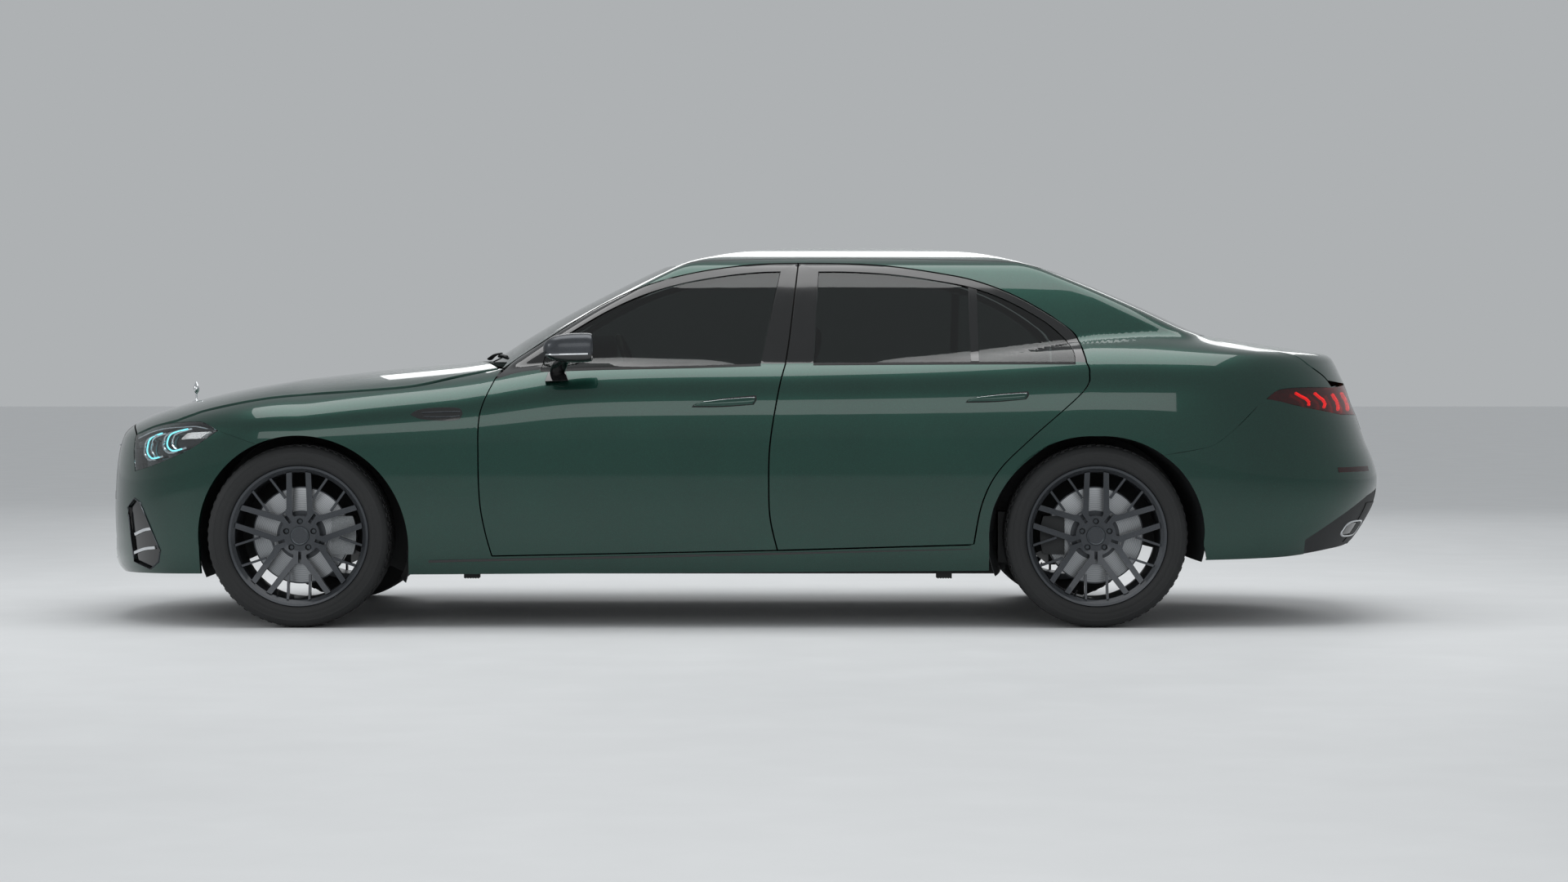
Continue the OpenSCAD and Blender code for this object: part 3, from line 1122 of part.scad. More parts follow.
module rear_bench() {
    color("saddlebrown") {
        translate([bench_x, -600, 240]) cube([floor_x[1] - seat_gap - bench_x, 1200, 240]);
        translate([0, 620, 0]) rotate([90, 0, 0]) linear_extrude(1240) polygon([
            [905, 480], [1009, 480], [1200, 960], [1080, 975]]);
        for (y = [-390, 390]) translate([1090, y - 110, 965]) cube([85, 220, 120]);
    }
}
// Door mirror: a foot on the door's skin, a stalk and the housing
mirror_foot = between(
    straight([-768, 958], [-676, 962], 3), straight([-756, 998], [-690, 1000], 3),
    straight([-768, 958], [-756, 998], 3), straight([-676, 962], [-690, 1000], 3));
mirror_foot_t = 22;
module mirror_shape() {
    hull() {
        translate([-770, 945, 1060]) cube([10, 110, 70]);
        translate([-640, 930, 1028]) cube([64, 130, 118]);
        translate([-740, 935, 1035]) cube([60, 120, 110]);
    }
    skin([[mirror_foot, whole_edges(mirror_foot)]],
        function (p) [p[0], side_y(p[0], p[1]) + mirror_foot_t, p[1]],
        function (p) [p[0], side_y(p[0], p[1]) + seat_gap, p[1]]);
    hull() {
        translate([-748, 897, 980]) cube([52, 8, 14]);
        translate([-735, 950, 1030]) cube([80, 40, 15]);
    }
}
module mirror_left() { color("black") left() mirror_shape(); }
module mirror_right() { color("black") mirror_shape(); }

body_side_left();
body_side_right();
fender_left();
fender_right();
front_bumper();
grille();
headlamps();
tail_lamps();
rear_bumper();
roof_panel();
windscreen();
rear_window();
cowl();
bonnet();
boot_lid();
door_front_left();
door_front_right();
door_rear_left();
door_rear_right();
glass_front_left();
glass_front_right();
glass_rear_left();
glass_rear_right();
mirror_left();
mirror_right();
floor_pan();
front_frame();
rear_frame();
engine_block();
dashboard();
front_seats();
rear_bench();
steering_wheel();
front_axle();
rear_axle();
knuckle_left();
knuckle_right();
tyre_front_left();
tyre_front_right();
tyre_rear_left();
tyre_rear_right();
rim_front_left();
rim_front_right();
rim_rear_left();
rim_rear_right();
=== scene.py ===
import math

import bmesh
import bpy
import numpy as np
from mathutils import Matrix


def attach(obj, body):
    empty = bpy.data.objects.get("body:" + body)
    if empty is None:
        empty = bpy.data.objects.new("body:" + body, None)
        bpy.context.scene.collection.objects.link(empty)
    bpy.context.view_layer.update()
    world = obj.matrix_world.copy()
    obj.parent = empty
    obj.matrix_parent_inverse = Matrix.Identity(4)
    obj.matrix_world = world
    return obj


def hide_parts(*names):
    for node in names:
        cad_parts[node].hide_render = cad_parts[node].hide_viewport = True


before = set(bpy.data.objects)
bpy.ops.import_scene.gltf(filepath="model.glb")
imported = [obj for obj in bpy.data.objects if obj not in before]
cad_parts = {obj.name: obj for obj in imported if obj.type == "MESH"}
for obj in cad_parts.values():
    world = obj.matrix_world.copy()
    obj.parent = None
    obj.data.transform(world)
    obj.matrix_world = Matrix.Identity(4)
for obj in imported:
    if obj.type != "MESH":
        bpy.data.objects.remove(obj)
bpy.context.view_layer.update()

# Finer steps than the solids have, for smooth paint
FINE = 4

# Body sizes, in millimetres

BODY_HALF_W = 972.0
WAIST_Z = 700.0
DOOR_T = 110.0
FRAME_T = 30.0
PANEL_T = 14.0
SHUT_GAP = 5.0
GLASS_T = 5.0
GLASS_IN = 6.0
PANEL_GAP = 0.8
TRACK_HALF = 830.0
TYRE_R = 356.0
FRONT_X = -1726.0
REAR_X = 1380.0
AXLE_Z = TYRE_R

NOSE = [[150, -2470], [190, -2548], [240, -2574], [330, -2579], [430, -2579], [560, -2574],
        [640, -2566], [700, -2554], [751, -2530], [789, -2479], [826, -2397], [853, -2316],
        [877, -2234], [904, -2126], [931, -1993], [958, -1823], [972, -1726]]
TAIL = [[240, 2330], [262, 2420], [312, 2480], [400, 2540], [480, 2578], [560, 2588],
        [610, 2580], [666, 2560], [710, 2540], [816, 2503], [863, 2482], [935, 2457],
        [979, 2437], [1023, 2417], [1052, 2398], [1067, 2366], [1078, 2300], [1098, 2166],
        [1125, 1997], [1138, 1912], [1152, 1790], [1168, 1600], [1180, 1380]]
SHOULDER = [[-1726, 972], [-1484, 999], [-1144, 1030], [-1000, 1050], [-700, 1095],
            [-400, 1112], [200, 1122], [800, 1142], [1380, 1180]]
SQUARE = [[-1726, 3], [-1100, 3.5], [-600, 4], [1380, 4]]
SCREEN = [[940, -1200], [1033, -1045], [1077, -974], [1131, -890], [1230, -720], [1318, -550],
          [1400, -380], [1434, -295], [1454, -211], [1481, -41], [1495, 129], [1502, 299], [1505, 469]]
BACK = [[1000, 2140], [1138, 1900], [1165, 1827], [1244, 1657], [1318, 1487], [1386, 1317],
        [1417, 1233], [1440, 1148], [1459, 1063], [1474, 978], [1491, 808], [1502, 638], [1505, 469]]
CABIN = [[900, 925], [1010, 880], [1100, 839], [1200, 784], [1300, 724], [1380, 668],
         [1415, 634], [1440, 582], [1460, 505], [1480, 392], [1495, 243], [1502, 118], [1505, 10]]
MEET = [[-1000, 80], [-700, 200], [1250, 200], [1600, 40], [2200, 40]]
CABIN_MID_X = 350.0
SIDE_BOW = 0.000055
SCREEN_BOW = 0.000238
BACK_BOW = 0.00021
LOW_DEPTH = 860.0
NOSE_POWER = 2.5
TAIL_POWER = 3.0
ARCH_R = 392.0


def smooth(tab, k):
    """Smooth reading of a table of pairs at k, held level past its ends."""
    tab = np.asarray(tab, float)
    xs, ys = tab[:, 0], tab[:, 1]
    k = np.asarray(k, float)
    n = len(xs)
    lo = np.maximum(np.arange(n) - 1, 0)
    hi = np.minimum(np.arange(n) + 1, n - 1)
    slope = (ys[hi] - ys[lo]) / (xs[hi] - xs[lo])
    i = np.clip(np.searchsorted(xs, k, side="right") - 1, 0, n - 2)
    h = xs[i + 1] - xs[i]
    f = np.clip((k - xs[i]) / h, 0, 1)
    g = 1 - f
    out = (ys[i] * g * g * (1 + 2 * f) + ys[i + 1] * f * f * (3 - 2 * f)
           + slope[i] * h * f * g * g - slope[i + 1] * h * f * f * g)
    return out


def on_curve(pts, t):
    """Places at t, 0 to 1, on a smooth curve through pts."""
    pts = np.asarray(pts, float)
    n = len(pts) - 1
    t = np.asarray(t, float)
    i = np.clip(np.floor(t * n).astype(int), 0, n - 1)
    f = (t * n - i)[..., None]
    p0, p1, p2, p3 = pts[np.maximum(i - 1, 0)], pts[i], pts[i + 1], pts[np.minimum(i + 2, n)]
    return 0.5 * (2 * p1 + (p2 - p0) * f + (2 * p0 - 5 * p1 + 4 * p2 - p3) * f * f
                  + (3 * p1 - p0 - 3 * p2 + p3) * f * f * f)


def curve(pts, n):
    return on_curve(pts, np.linspace(0, 1, n * FINE + 1))


def straight(a, b, n):
    a, b = np.asarray(a, float), np.asarray(b, float)
    return a + (b - a) * np.linspace(0, 1, n * FINE + 1)[:, None]


def joined(*lists):
    """Lists of places end to end, each next one without its first place."""
    return np.concatenate([np.asarray(lists[0], float)] + [np.asarray(x, float)[1:] for x in lists[1:]])


def moved(pts, dx, dz=0.0):
    return np.asarray(pts, float) + [dx, dz]


def beside(line, d):
    """A line of places moved sideways, to the left of its direction."""
    line = np.asarray(line, float)
    a = line[np.maximum(np.arange(len(line)) - 1, 0)]
    b = line[np.minimum(np.arange(len(line)) + 1, len(line) - 1)]
    run = b - a
    return line + np.stack([-run[:, 1], run[:, 0]], 1) * d / np.linalg.norm(run, axis=1)[:, None]


def between(bottom, top, left, right):
    """Grid between four edges that meet at their corners."""
    bottom, top, left, right = (np.asarray(e, float) for e in (bottom, top, left, right))
    nu, nv = len(bottom) - 1, len(left) - 1
    u = np.linspace(0, 1, nu + 1)[None, :, None]
    v = np.linspace(0, 1, nv + 1)[:, None, None]
    return ((1 - v) * bottom[None] + v * top[None] + (1 - u) * left[:, None] + u * right[:, None]
            - (1 - u) * (1 - v) * bottom[0] - u * (1 - v) * bottom[-1]
            - (1 - u) * v * top[0] - u * v * top[-1])


def weighted(line, w):
    line = np.asarray(line, float)[:, :2]
    return np.column_stack([line, np.broadcast_to(w, len(line))])


def level_half(z, top, n):
    up = np.clip((z - WAIST_Z) / (top - WAIST_Z), 0, 1)
    down = np.clip((WAIST_Z - z) / LOW_DEPTH, 0, 1)
    high = BODY_HALF_W * (1 - up ** n) ** (1 / n)
    low = BODY_HALF_W * (1 - down ** 3) ** (1 / 3)
    return np.where(z > WAIST_Z, np.where(z >= top, 0, high), low)


NOSE_TOP, TAIL_TOP = NOSE[-1][0], TAIL[-1][0]


def nose_half(z):
    return level_half(z, NOSE_TOP, 3)


def tail_half(z):
    return level_half(z, TAIL_TOP, 4)


def nose_len(z):
    return FRONT_X - smooth(NOSE, z)


def tail_len(z):
    return smooth(TAIL, z) - REAR_X


def low_half(x, z):
    """Half-width of the lower body, or -1 where there is none."""
    a = (FRONT_X - x) / nose_len(z)
    b = (x - REAR_X) / tail_len(z)
    nose = np.where((z >= NOSE_TOP) | (a > 1), -1,
                    nose_half(z) * np.maximum(1 - np.clip(a, 0, 1) ** NOSE_POWER, 0) ** (1 / NOSE_POWER))
    tail = np.where((z >= TAIL_TOP) | (b > 1), -1,
                    tail_half(z) * np.maximum(1 - np.clip(b, 0, 1) ** TAIL_POWER, 0) ** (1 / TAIL_POWER))
    top = smooth(SHOULDER, x)
    middle = np.where(z >= top, -1, level_half(z, top, smooth(SQUARE, x)))
    return np.where(x < FRONT_X, nose, np.where(x > REAR_X, tail, middle))


def cabin_half(x, z):
    """Half-width of the cabin, or -1 where there is none."""
    ahead, behind = x - smooth(SCREEN, z), smooth(BACK, z) - x
    side = smooth(CABIN, z) - SIDE_BOW * (x - CABIN_MID_X) ** 2
    ends = np.sqrt(np.maximum(np.minimum(ahead / SCREEN_BOW, behind / BACK_BOW), 0))
    lo, hi = np.minimum(side, ends), np.maximum(side, ends)
    with np.errstate(all="ignore"):
        both = lo / (1 + (lo / hi) ** 18) ** (1 / 18)
    gone = (z >= 1505) | (z < 940) | (ahead <= 0) | (behind <= 0) | (side <= 0)
    return np.where(gone, -1, both)


def side_y(x, z):
    """Half-width of the whole body."""
    x, z = np.broadcast_arrays(np.asarray(x, float), np.asarray(z, float))
    a, b = low_half(x, z), cabin_half(x, z)
    hi, lo = np.maximum(a, b), np.minimum(a, b)
    m = smooth(MEET, x)
    with np.errstate(all="ignore"):
        met = hi * (1 + (np.maximum(lo, 0) / np.maximum(hi, 1e-9)) ** m) ** (1 / m)
    return np.where(hi <= 0, 0, np.where(lo <= 0, hi, met))


def climb(inside, lo, hi, shape):
    """Highest level at which the body still holds each place."""
    lo, hi = np.full(shape, float(lo)), np.full(shape, float(hi))
    for _ in range(22):
        mid = (lo + hi) / 2
        held = inside(mid)
        lo, hi = np.where(held, mid, lo), np.where(held, hi, mid)
    return lo


def top_z(x, y):
    x, y = np.broadcast_arrays(np.asarray(x, float), np.asarray(y, float))
    return climb(lambda z: (np.maximum(low_half(x, z), cabin_half(x, z)) > 0) & (side_y(x, z) >= np.abs(y)),
                 700, 1506, x.shape)


def cabin_z(x, y):
    x, y = np.broadcast_arrays(np.asarray(x, float), np.asarray(y, float))
    return climb(lambda z: cabin_half(x, z) >= np.abs(y), 941, 1506, x.shape)


def turn_share(x):
    return np.clip(np.maximum((x - 1700) / 300, (-1800 - x) / 250), 0, 1)


def square_to(x, z):
    s = (side_y(x + 4, z) - side_y(x - 4, z)) / 8 * turn_share(x)
    n = np.stack([-s, np.ones_like(s)], -1)
    return n / np.linalg.norm(n, axis=-1, keepdims=True)


def end_place(t, z, front):
    """Place on the nose or tail, from its turn in degrees and height."""
    c = np.maximum(np.cos(np.radians(t)), 0)
    s = np.abs(np.sin(np.radians(t)))
    if front:
        p, a, b, x0, way = NOSE_POWER, nose_len(z), nose_half(z), FRONT_X, -1
    else:
        p, a, b, x0, way = TAIL_POWER, tail_len(z), tail_half(z), REAR_X, 1
    return np.stack([x0 + way * a * c ** (2 / p), np.sign(t) * b * s ** (2 / p), z], -1)


def end_in(t, z, d, front):
    """The same place, d inwards square to the surface in plan."""
    c = np.maximum(np.cos(np.radians(t)), 0)
    s = np.abs(np.sin(np.radians(t)))
    p, a, b, way = ((NOSE_POWER, nose_len(z), nose_half(z), -1) if front
                    else (TAIL_POWER, tail_len(z), tail_half(z), 1))
    place = end_place(t, z, front)
    g = np.stack([c ** (2 - 2 / p) / a * turn_share(place[..., 0]), s ** (2 - 2 / p) / b], -1)
    g = g / np.maximum(np.linalg.norm(g, axis=-1, keepdims=True), 1e-12)
    d = np.asarray(d, float)
    place[..., 0] -= way * g[..., 0] * d
    place[..., 1] -= np.sign(t) * g[..., 1] * d
    return place


def nose_turn(x, z):
    return np.degrees(np.arccos(np.clip((FRONT_X - x) / nose_len(z), 0, 1) ** (NOSE_POWER / 2)))


def tail_turn(x, z):
    return np.degrees(np.arccos(np.clip((x - REAR_X) / tail_len(z), 0, 1) ** (TAIL_POWER / 2)))


def nose_turn_y(y, z):
    return np.degrees(np.arcsin((y / nose_half(z)) ** (NOSE_POWER / 2)))


def tail_turn_y(y, z):
    return np.degrees(np.arcsin((y / tail_half(z)) ** (TAIL_POWER / 2)))


def on_nose(pts):
    pts = np.asarray(pts, float)
    return np.stack([nose_turn(pts[:, 0], pts[:, 1]), pts[:, 1]], 1)


def on_tail(pts):
    pts = np.asarray(pts, float)
    return np.stack([tail_turn(pts[:, 0], pts[:, 1]), pts[:, 1]], 1)


def fine(pts):
    """A coarse line as a smooth one through the same places."""
    return on_curve(pts, np.linspace(0, 1, (len(pts) - 1) * FINE + 1))


def coarse(pts, n):
    return on_curve(pts, np.linspace(0, 1, n + 1))


def steps(a, b, n):
    return np.linspace(a, b, n * FINE + 1)


# Shut lines and lamp outlines, as [x, z] seen from the side

DOOR_FRONT = np.array([[-972, 281], [-997, 377], [-1016, 492], [-1022, 660], [-1016, 831], [-965, 966]],
                      float)
DOOR_MIDDLE = np.array([[134, 303], [107, 422], [101, 549], [106, 717], [139, 921], [166, 1027]], float)
DOOR_REAR = np.array([[899, 325], [930, 483], [994, 610], [1121, 737], [1322, 917], [1350, 991],
                      [1340, 1032]], float)
FRAME_FRONT = np.array([[-965, 966], [-903, 1034], [-800, 1103], [-707, 1164], [-548, 1262], [-388, 1332],
                        [-227, 1378], [-65, 1406], [98, 1421], [217, 1424.5]], float)
FRAME_REAR = np.array([[222, 1424.5], [423, 1421], [586, 1411], [748, 1388], [911, 1356], [1073, 1295],
                       [1229, 1205], [1308, 1140], [1335, 1060], [1340, 1032]], float)
MIDDLE_UP = np.array([[166, 1027], [182, 1130], [200, 1280], [217, 1424.5]], float)
FENDER_TOP = np.array([[-2235, 798], [-2160, 824], [-2083, 847], [-1849, 891], [-1550, 915], [-1300, 935],
                       [-1120, 972], [-945, 1008]], float)
LAMP_TOP = np.array([[-2409, 741], [-2326, 775], [-2235, 794], [-2147, 800], [-2099, 796], [-2039, 766]],
                    float)
LAMP_LOW = np.array([[-2409, 600], [-2300, 633], [-2160, 690], [-2039, 766]], float)
TAIL_CUT = np.array([[1636, 672], [1798, 700], [1851, 721], [1924, 779], [2010, 862], [2047, 890]], float)
TAIL_LAMP_TOP = np.array([[2047, 890], [2106, 926], [2225, 934], [2340, 932]], float)
TAIL_LAMP_LOW = np.array([[2047, 890], [2204, 857], [2300, 840], [2378, 824]], float)
LID_CORNER = np.array([[2234, 1018], [2298, 979], [2321, 957]], float)
FRONT_WIN_LOW = np.array([[-790, 1004], [-540, 1012], [-200, 1019], [72, 1027]], float)
FRONT_WIN_TOP = np.array([[-770, 1088], [-690, 1143], [-540, 1233], [-388, 1302], [-227, 1349], [-65, 1377],
                          [60, 1390], [150, 1393]], float)
REAR_WIN_LOW = np.array([[278, 1030], [600, 1032], [1000, 1034], [1300, 1034]], float)
REAR_WIN_TOP = np.array([[300, 1392], [423, 1391], [586, 1381], [748, 1359], [911, 1327], [1050, 1275],
                         [1190, 1195], [1270, 1125]], float)
BONNET_SIDE = np.array([[-2409, 746], [-2326, 780], [-2235, 803], [-2160, 829], [-2083, 852], [-1849, 896],
                        [-1550, 920], [-1300, 941], [-1120, 980], [-965, 1008]], float)
TAIL_LOW = np.array([[1809, 261], [1980, 264], [2150, 270], [2330, 290]], float)
FRONT_ARCH_CUT, FRONT_ARCH_END = 114.0, -12.0
REAR_ARCH_START, REAR_ARCH_MID, REAR_ARCH_CUT = 184.5, 80.0, 51.0
SILL_LOW, SILL_IN = 205.0, 760.0


def front_arch(a):
    a = np.asarray(a, float)
    r = np.where(a > 90, ARCH_R + 6 * ((a - 90) / 90) ** 2, ARCH_R + 34 * ((90 - a) / 90) ** 2)
    return np.stack([FRONT_X + r * np.cos(np.radians(a)), AXLE_Z + r * np.sin(np.radians(a))], -1)


def rear_arch(a):
    a = np.asarray(a, float)
    r = ARCH_R - 2 + 30 * np.abs(np.cos(np.radians(a))) ** 1.2
    return np.stack([REAR_X + r * np.cos(np.radians(a)), AXLE_Z + r * np.sin(np.radians(a))], -1)


BASE_EDGE, SCREEN_EDGE, ROOF_EDGE, BACK_EDGE, BACK_BASE_EDGE = 688.0, 586.0, 564.0, 580.0, 645.0


def base_x(y):
    return -1045 + SCREEN_BOW * y * y


def header_x(y):
    return -340 + SCREEN_BOW * y * y


def roof_end(y):
    return 1280 - BACK_BOW * y * y


def back_low(y):
    return 1895 - BACK_BOW * y * y


SCREEN_LOW, SCREEN_TOP = base_x(BASE_EDGE), header_x(SCREEN_EDGE)
BACK_TOP, BACK_LOW = roof_end(BACK_EDGE), back_low(BACK_BASE_EDGE)
EDGE = [[SCREEN_LOW, BASE_EDGE], [SCREEN_TOP, SCREEN_EDGE], [100, ROOF_EDGE], [900, ROOF_EDGE],
        [BACK_TOP, BACK_EDGE], [BACK_LOW, BACK_BASE_EDGE]]


def edge_place(x):
    return np.stack([x, cabin_z(x, smooth(EDGE, x))], -1)


# Meshes between two skins

class Form:
    """Places in millimetres and faces, each with the number of its finish."""

    def __init__(self):
        self.places, self.faces, self.finish, self.count = [], [], [], 0

    def add(self, places, faces, finish=0):
        places = np.asarray(places, float).reshape(-1, 3)
        self.places.append(places)
        self.faces += [tuple(int(k) + self.count for k in f) for f in faces]
        self.finish += [finish] * len(faces)
        self.count += len(places)
        return self

    def take(self, other):
        """Adds every face of another form."""
        return self.add(np.concatenate(other.places), other.faces)

    def grid(self, places, finish=0, flip=False):
        """An open sheet over a grid of places."""
        nv, nu = places.shape[0], places.shape[1]
        k = np.arange(nv * nu).reshape(nv, nu)
        f = np.stack([k[:-1, :-1], k[:-1, 1:], k[1:, 1:], k[1:, :-1]], -1).reshape(-1, 4)
        return self.add(places, f[:, ::-1] if flip else f, finish)

    def solid(self, outer, inner, walls=None, finish=0, inside=None, rim=None):
        """A closed shell between two grids, with walls along the named stretches of its edges."""
        nv, nu = outer.shape[0] - 1, outer.shape[1] - 1
        inside = finish if inside is None else inside
        rim = finish if rim is None else rim
        self.grid(outer, finish)
        self.grid(inner, inside, flip=True)
        lines = {"bottom": (outer[0], inner[0]), "top": (outer[-1], inner[-1]),
                 "left": (outer[:, 0], inner[:, 0]), "right": (outer[:, -1], inner[:, -1])}
        for side, lo, hi in walls or [("bottom", 0, nu), ("top", 0, nu), ("left", 0, nv), ("right", 0, nv)]:
            o, i = lines[side]
            self.grid(np.stack([o[lo:hi + 1], i[lo:hi + 1]]), rim, flip=side in ("bottom", "right"))
        return self

    def mirrored(self):
        out = Form()
        for p in self.places:
            out.places.append(p * [1, -1, 1])
        out.faces = [f[::-1] for f in self.faces]
        out.finish, out.count = list(self.finish), self.count
        return out

    def both(self):
        """This form and its mirror image as one."""
        other = self.mirrored()
        out = Form()
        for f in (self, other):
            out.take(f)
        out.finish = self.finish + other.finish
        return out


WELD = 0.00004


def put(name, form, body, finishes, nodes=(), bevel=0.0, sharp=38, weld=True, recalc=True, segments=2):
    """One finished piece from a form, riding on a body and standing for nodes."""
    mesh = bpy.data.meshes.new(name)
    mesh.from_pydata((np.concatenate(form.places) / 1000).tolist(), [], form.faces)
    for m in finishes:
        mesh.materials.append(m)
    mesh.polygons.foreach_set("material_index", form.finish)
    bm = bmesh.new()
    bm.from_mesh(mesh)
    if weld:
        bmesh.ops.remove_doubles(bm, verts=bm.verts, dist=WELD)
        bmesh.ops.dissolve_degenerate(bm, edges=bm.edges, dist=WELD / 4)
    if recalc:
        bmesh.ops.recalc_face_normals(bm, faces=bm.faces)
    bm.to_mesh(mesh)
    bm.free()
    mesh.shade_smooth()
    mesh.set_sharp_from_angle(angle=math.radians(sharp))
    obj = bpy.data.objects.new(name, mesh)
    bpy.context.collection.objects.link(obj)
    if bevel:
        soft = obj.modifiers.new("edges", "BEVEL")
        soft.width, soft.segments, soft.limit_method = bevel / 1000, segments, "ANGLE"
        soft.angle_limit = math.radians(sharp)
        soft.harden_normals = True
    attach(obj, body)
    if nodes:
        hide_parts(*([nodes] if isinstance(nodes, str) else nodes))
    return obj


SIDES = (("left", True), ("right", False))


def put_pair(name, form, body, finishes, node=None, **more):
    """The piece and its mirror image; names hold {} where the side's name goes."""
    made = []
    for side, turned in SIDES:
        made.append(put(name.format(side), form.mirrored() if turned else form, body.format(side), finishes,
                        [node.format(side)] if node else (), **more))
    return made


def scaled_walls(*walls):
    return [(s, a * FINE, b * FINE) for s, a, b in walls]


def on_side(p, raised=0.0):
    x, z = p[..., 0], p[..., 1]
    return np.stack([x, side_y(x, z) + raised, z], -1)


def weight(p):
    return p[..., 2] if p.shape[-1] > 2 else np.zeros(p.shape[:-1])


def side_inner(p, depth):
    w, x, z = weight(p), p[..., 0], p[..., 1]
    n = square_to(x, z) * (depth * (1 - w))[..., None]
    return np.stack([x - n[..., 0], side_y(x, z) - n[..., 1], z - depth * w], -1)


def on_end(p, front, raised=0.0):
    return end_in(p[..., 0], p[..., 1], -raised, front) if raised else end_place(p[..., 0], p[..., 1], front)


def end_inner(p, depth, front):
    w = weight(p)
    inner = end_in(p[..., 0], p[..., 1], depth * (1 - w), front)
    inner[..., 2] -= depth * w
    return inner


# Materials

def rgb(code, alpha=1.0):
    """A written colour such as #0E3B34 as linear light."""
    out = []
    for k in (1, 3, 5):
        c = int(code[k:k + 2], 16) / 255
        out.append(c / 12.92 if c <= 0.04045 else ((c + 0.055) / 1.055) ** 2.4)
    return (*out, alpha)


def node(tree, kind, links=None, sockets=None, **settings):
    """Adds one node, sets its values and joins its inputs to other nodes' outputs."""
    n = tree.nodes.new(kind)
    for key, value in settings.items():
        setattr(n, key, value)
    for key, value in (sockets or {}).items():
        n.inputs[key].default_value = value
    for key, source in (links or {}).items():
        tree.links.new(source, n.inputs[key])
    return n


def finish(name, light, dark, grain, rough, relief=0.0, pattern="noise", fleck=None, centre=None,
           stretch=(1, 1, 1), **shader):
    """A surface whose colour, gloss and relief vary over a grain of the given size in millimetres."""
    m = bpy.data.materials.new(name)
    m.use_nodes = True
    t = m.node_tree
    t.nodes.clear()
    place = node(t, "ShaderNodeTexCoord")
    move = node(t, "ShaderNodeMapping", {"Vector": place.outputs["Object"]}, vector_type="TEXTURE")
    if centre is not None:
        move.inputs["Location"].default_value = centre
    move.inputs["Scale"].default_value = stretch
    per_m = 1000 / grain
    if pattern == "cells":
        tex = node(t, "ShaderNodeTexVoronoi", {"Vector": move.outputs[0]}, {"Scale": per_m})
        value = tex.outputs["Distance"]
    elif pattern == "weave":
        a = node(t, "ShaderNodeTexWave", {"Vector": move.outputs[0]}, {"Scale": per_m / 6, "Distortion": 0.4},
                 bands_direction="X")
        b = node(t, "ShaderNodeTexWave", {"Vector": move.outputs[0]}, {"Scale": per_m / 6, "Distortion": 0.4},
                 bands_direction="Z")
        value = node(t, "ShaderNodeMath", {0: a.outputs["Fac"], 1: b.outputs["Fac"]},
                     operation="MULTIPLY").outputs[0]
    elif pattern == "rings":
        tex = node(t, "ShaderNodeTexWave", {"Vector": move.outputs[0]},
                   {"Scale": per_m / 6, "Distortion": 0.2}, wave_type="RINGS", rings_direction="Y")
        value = tex.outputs["Fac"]
    else:
        tex = node(t, "ShaderNodeTexNoise", {"Vector": move.outputs[0]},
                   {"Scale": per_m, "Detail": 4.0, "Roughness": 0.6})
        value = tex.outputs[0]
    wide = node(t, "ShaderNodeTexNoise", {"Vector": place.outputs["Object"]}, {"Scale": 3.0, "Detail": 2.0})
    both = node(t, "ShaderNodeMath", {0: value, 1: wide.outputs[0]}, {2: 0.0}, operation="MULTIPLY")
    spread = node(t, "ShaderNodeMapRange", {"Value": both.outputs[0]}, {"From Min": 0.08, "From Max": 0.42})
    tint = node(t, "ShaderNodeMix", {"Factor": spread.outputs[0]}, data_type="RGBA")
    tint.inputs[6].default_value, tint.inputs[7].default_value = rgb(dark), rgb(light)
    colour = tint.outputs[2]
    if fleck:
        flake = node(t, "ShaderNodeTexVoronoi", {"Vector": place.outputs["Object"]},
                     {"Scale": 1000 / fleck[0]})
        bright = node(t, "ShaderNodeMapRange", {"Value": flake.outputs["Color"]},
                      {"From Min": 0.55, "To Max": fleck[2]})
        mix = node(t, "ShaderNodeMix", {"Factor": bright.outputs[0], 6: colour}, data_type="RGBA")
        mix.inputs[7].default_value = rgb(fleck[1])
        colour = mix.outputs[2]
    gloss = node(t, "ShaderNodeMapRange", {"Value": value}, {"To Min": rough[0], "To Max": rough[1]})
    links = {"Base Color": colour, "Roughness": gloss.outputs[0]}
    if relief:
        bump = node(t, "ShaderNodeBump", {"Height": value}, {"Strength": 0.6, "Distance": relief / 1000})
        links["Normal"] = bump.outputs[0]
    body = node(t, "ShaderNodeBsdfPrincipled", links, shader)
    node(t, "ShaderNodeOutputMaterial", {"Surface": body.outputs[0]})
    m.diffuse_color = rgb(light)
    return m


# Automotive lacquer, emerald metallic under clear coat: deep, with fine bright flakes
lacquer = finish("lacquer_emerald_metallic", "#07382E", "#06332A", 260, (0.30, 0.40),
                 fleck=(1.6, "#1B5C4B", 0.3),
                 **{"Metallic": 0.8, "Coat Weight": 1.0, "Coat Roughness": 0.03})
# Polycarbonate, moulded and lacquered piano black: mirror gloss with faint haze
piano_black = finish("polycarbonate_gloss_black", "#0B0C0D", "#060708", 40, (0.08, 0.16),
                     **{"Coat Weight": 0.6})
# Polypropylene, moulded with a fine leather grain: matt, slightly grey
grained = finish("polypropylene_grained", "#232527", "#161819", 2.4, (0.55, 0.72), 0.25, "cells")
# EPDM rubber, extruded: matt black seals
seal = finish("epdm_extruded", "#151617", "#0C0D0E", 6, (0.62, 0.8), 0.1)
# ABS, chrome plated: bright, with the faint waviness of plating
chrome = finish("abs_chrome_plated", "#E4E6E8", "#C9CCCF", 60, (0.05, 0.12), 0.02, Metallic=1.0)
# ABS, satin dark chrome: smoky plated trim
dark_chrome = finish("abs_dark_chrome", "#5A5E62", "#3C4043", 50, (0.16, 0.26), 0.02, Metallic=1.0)
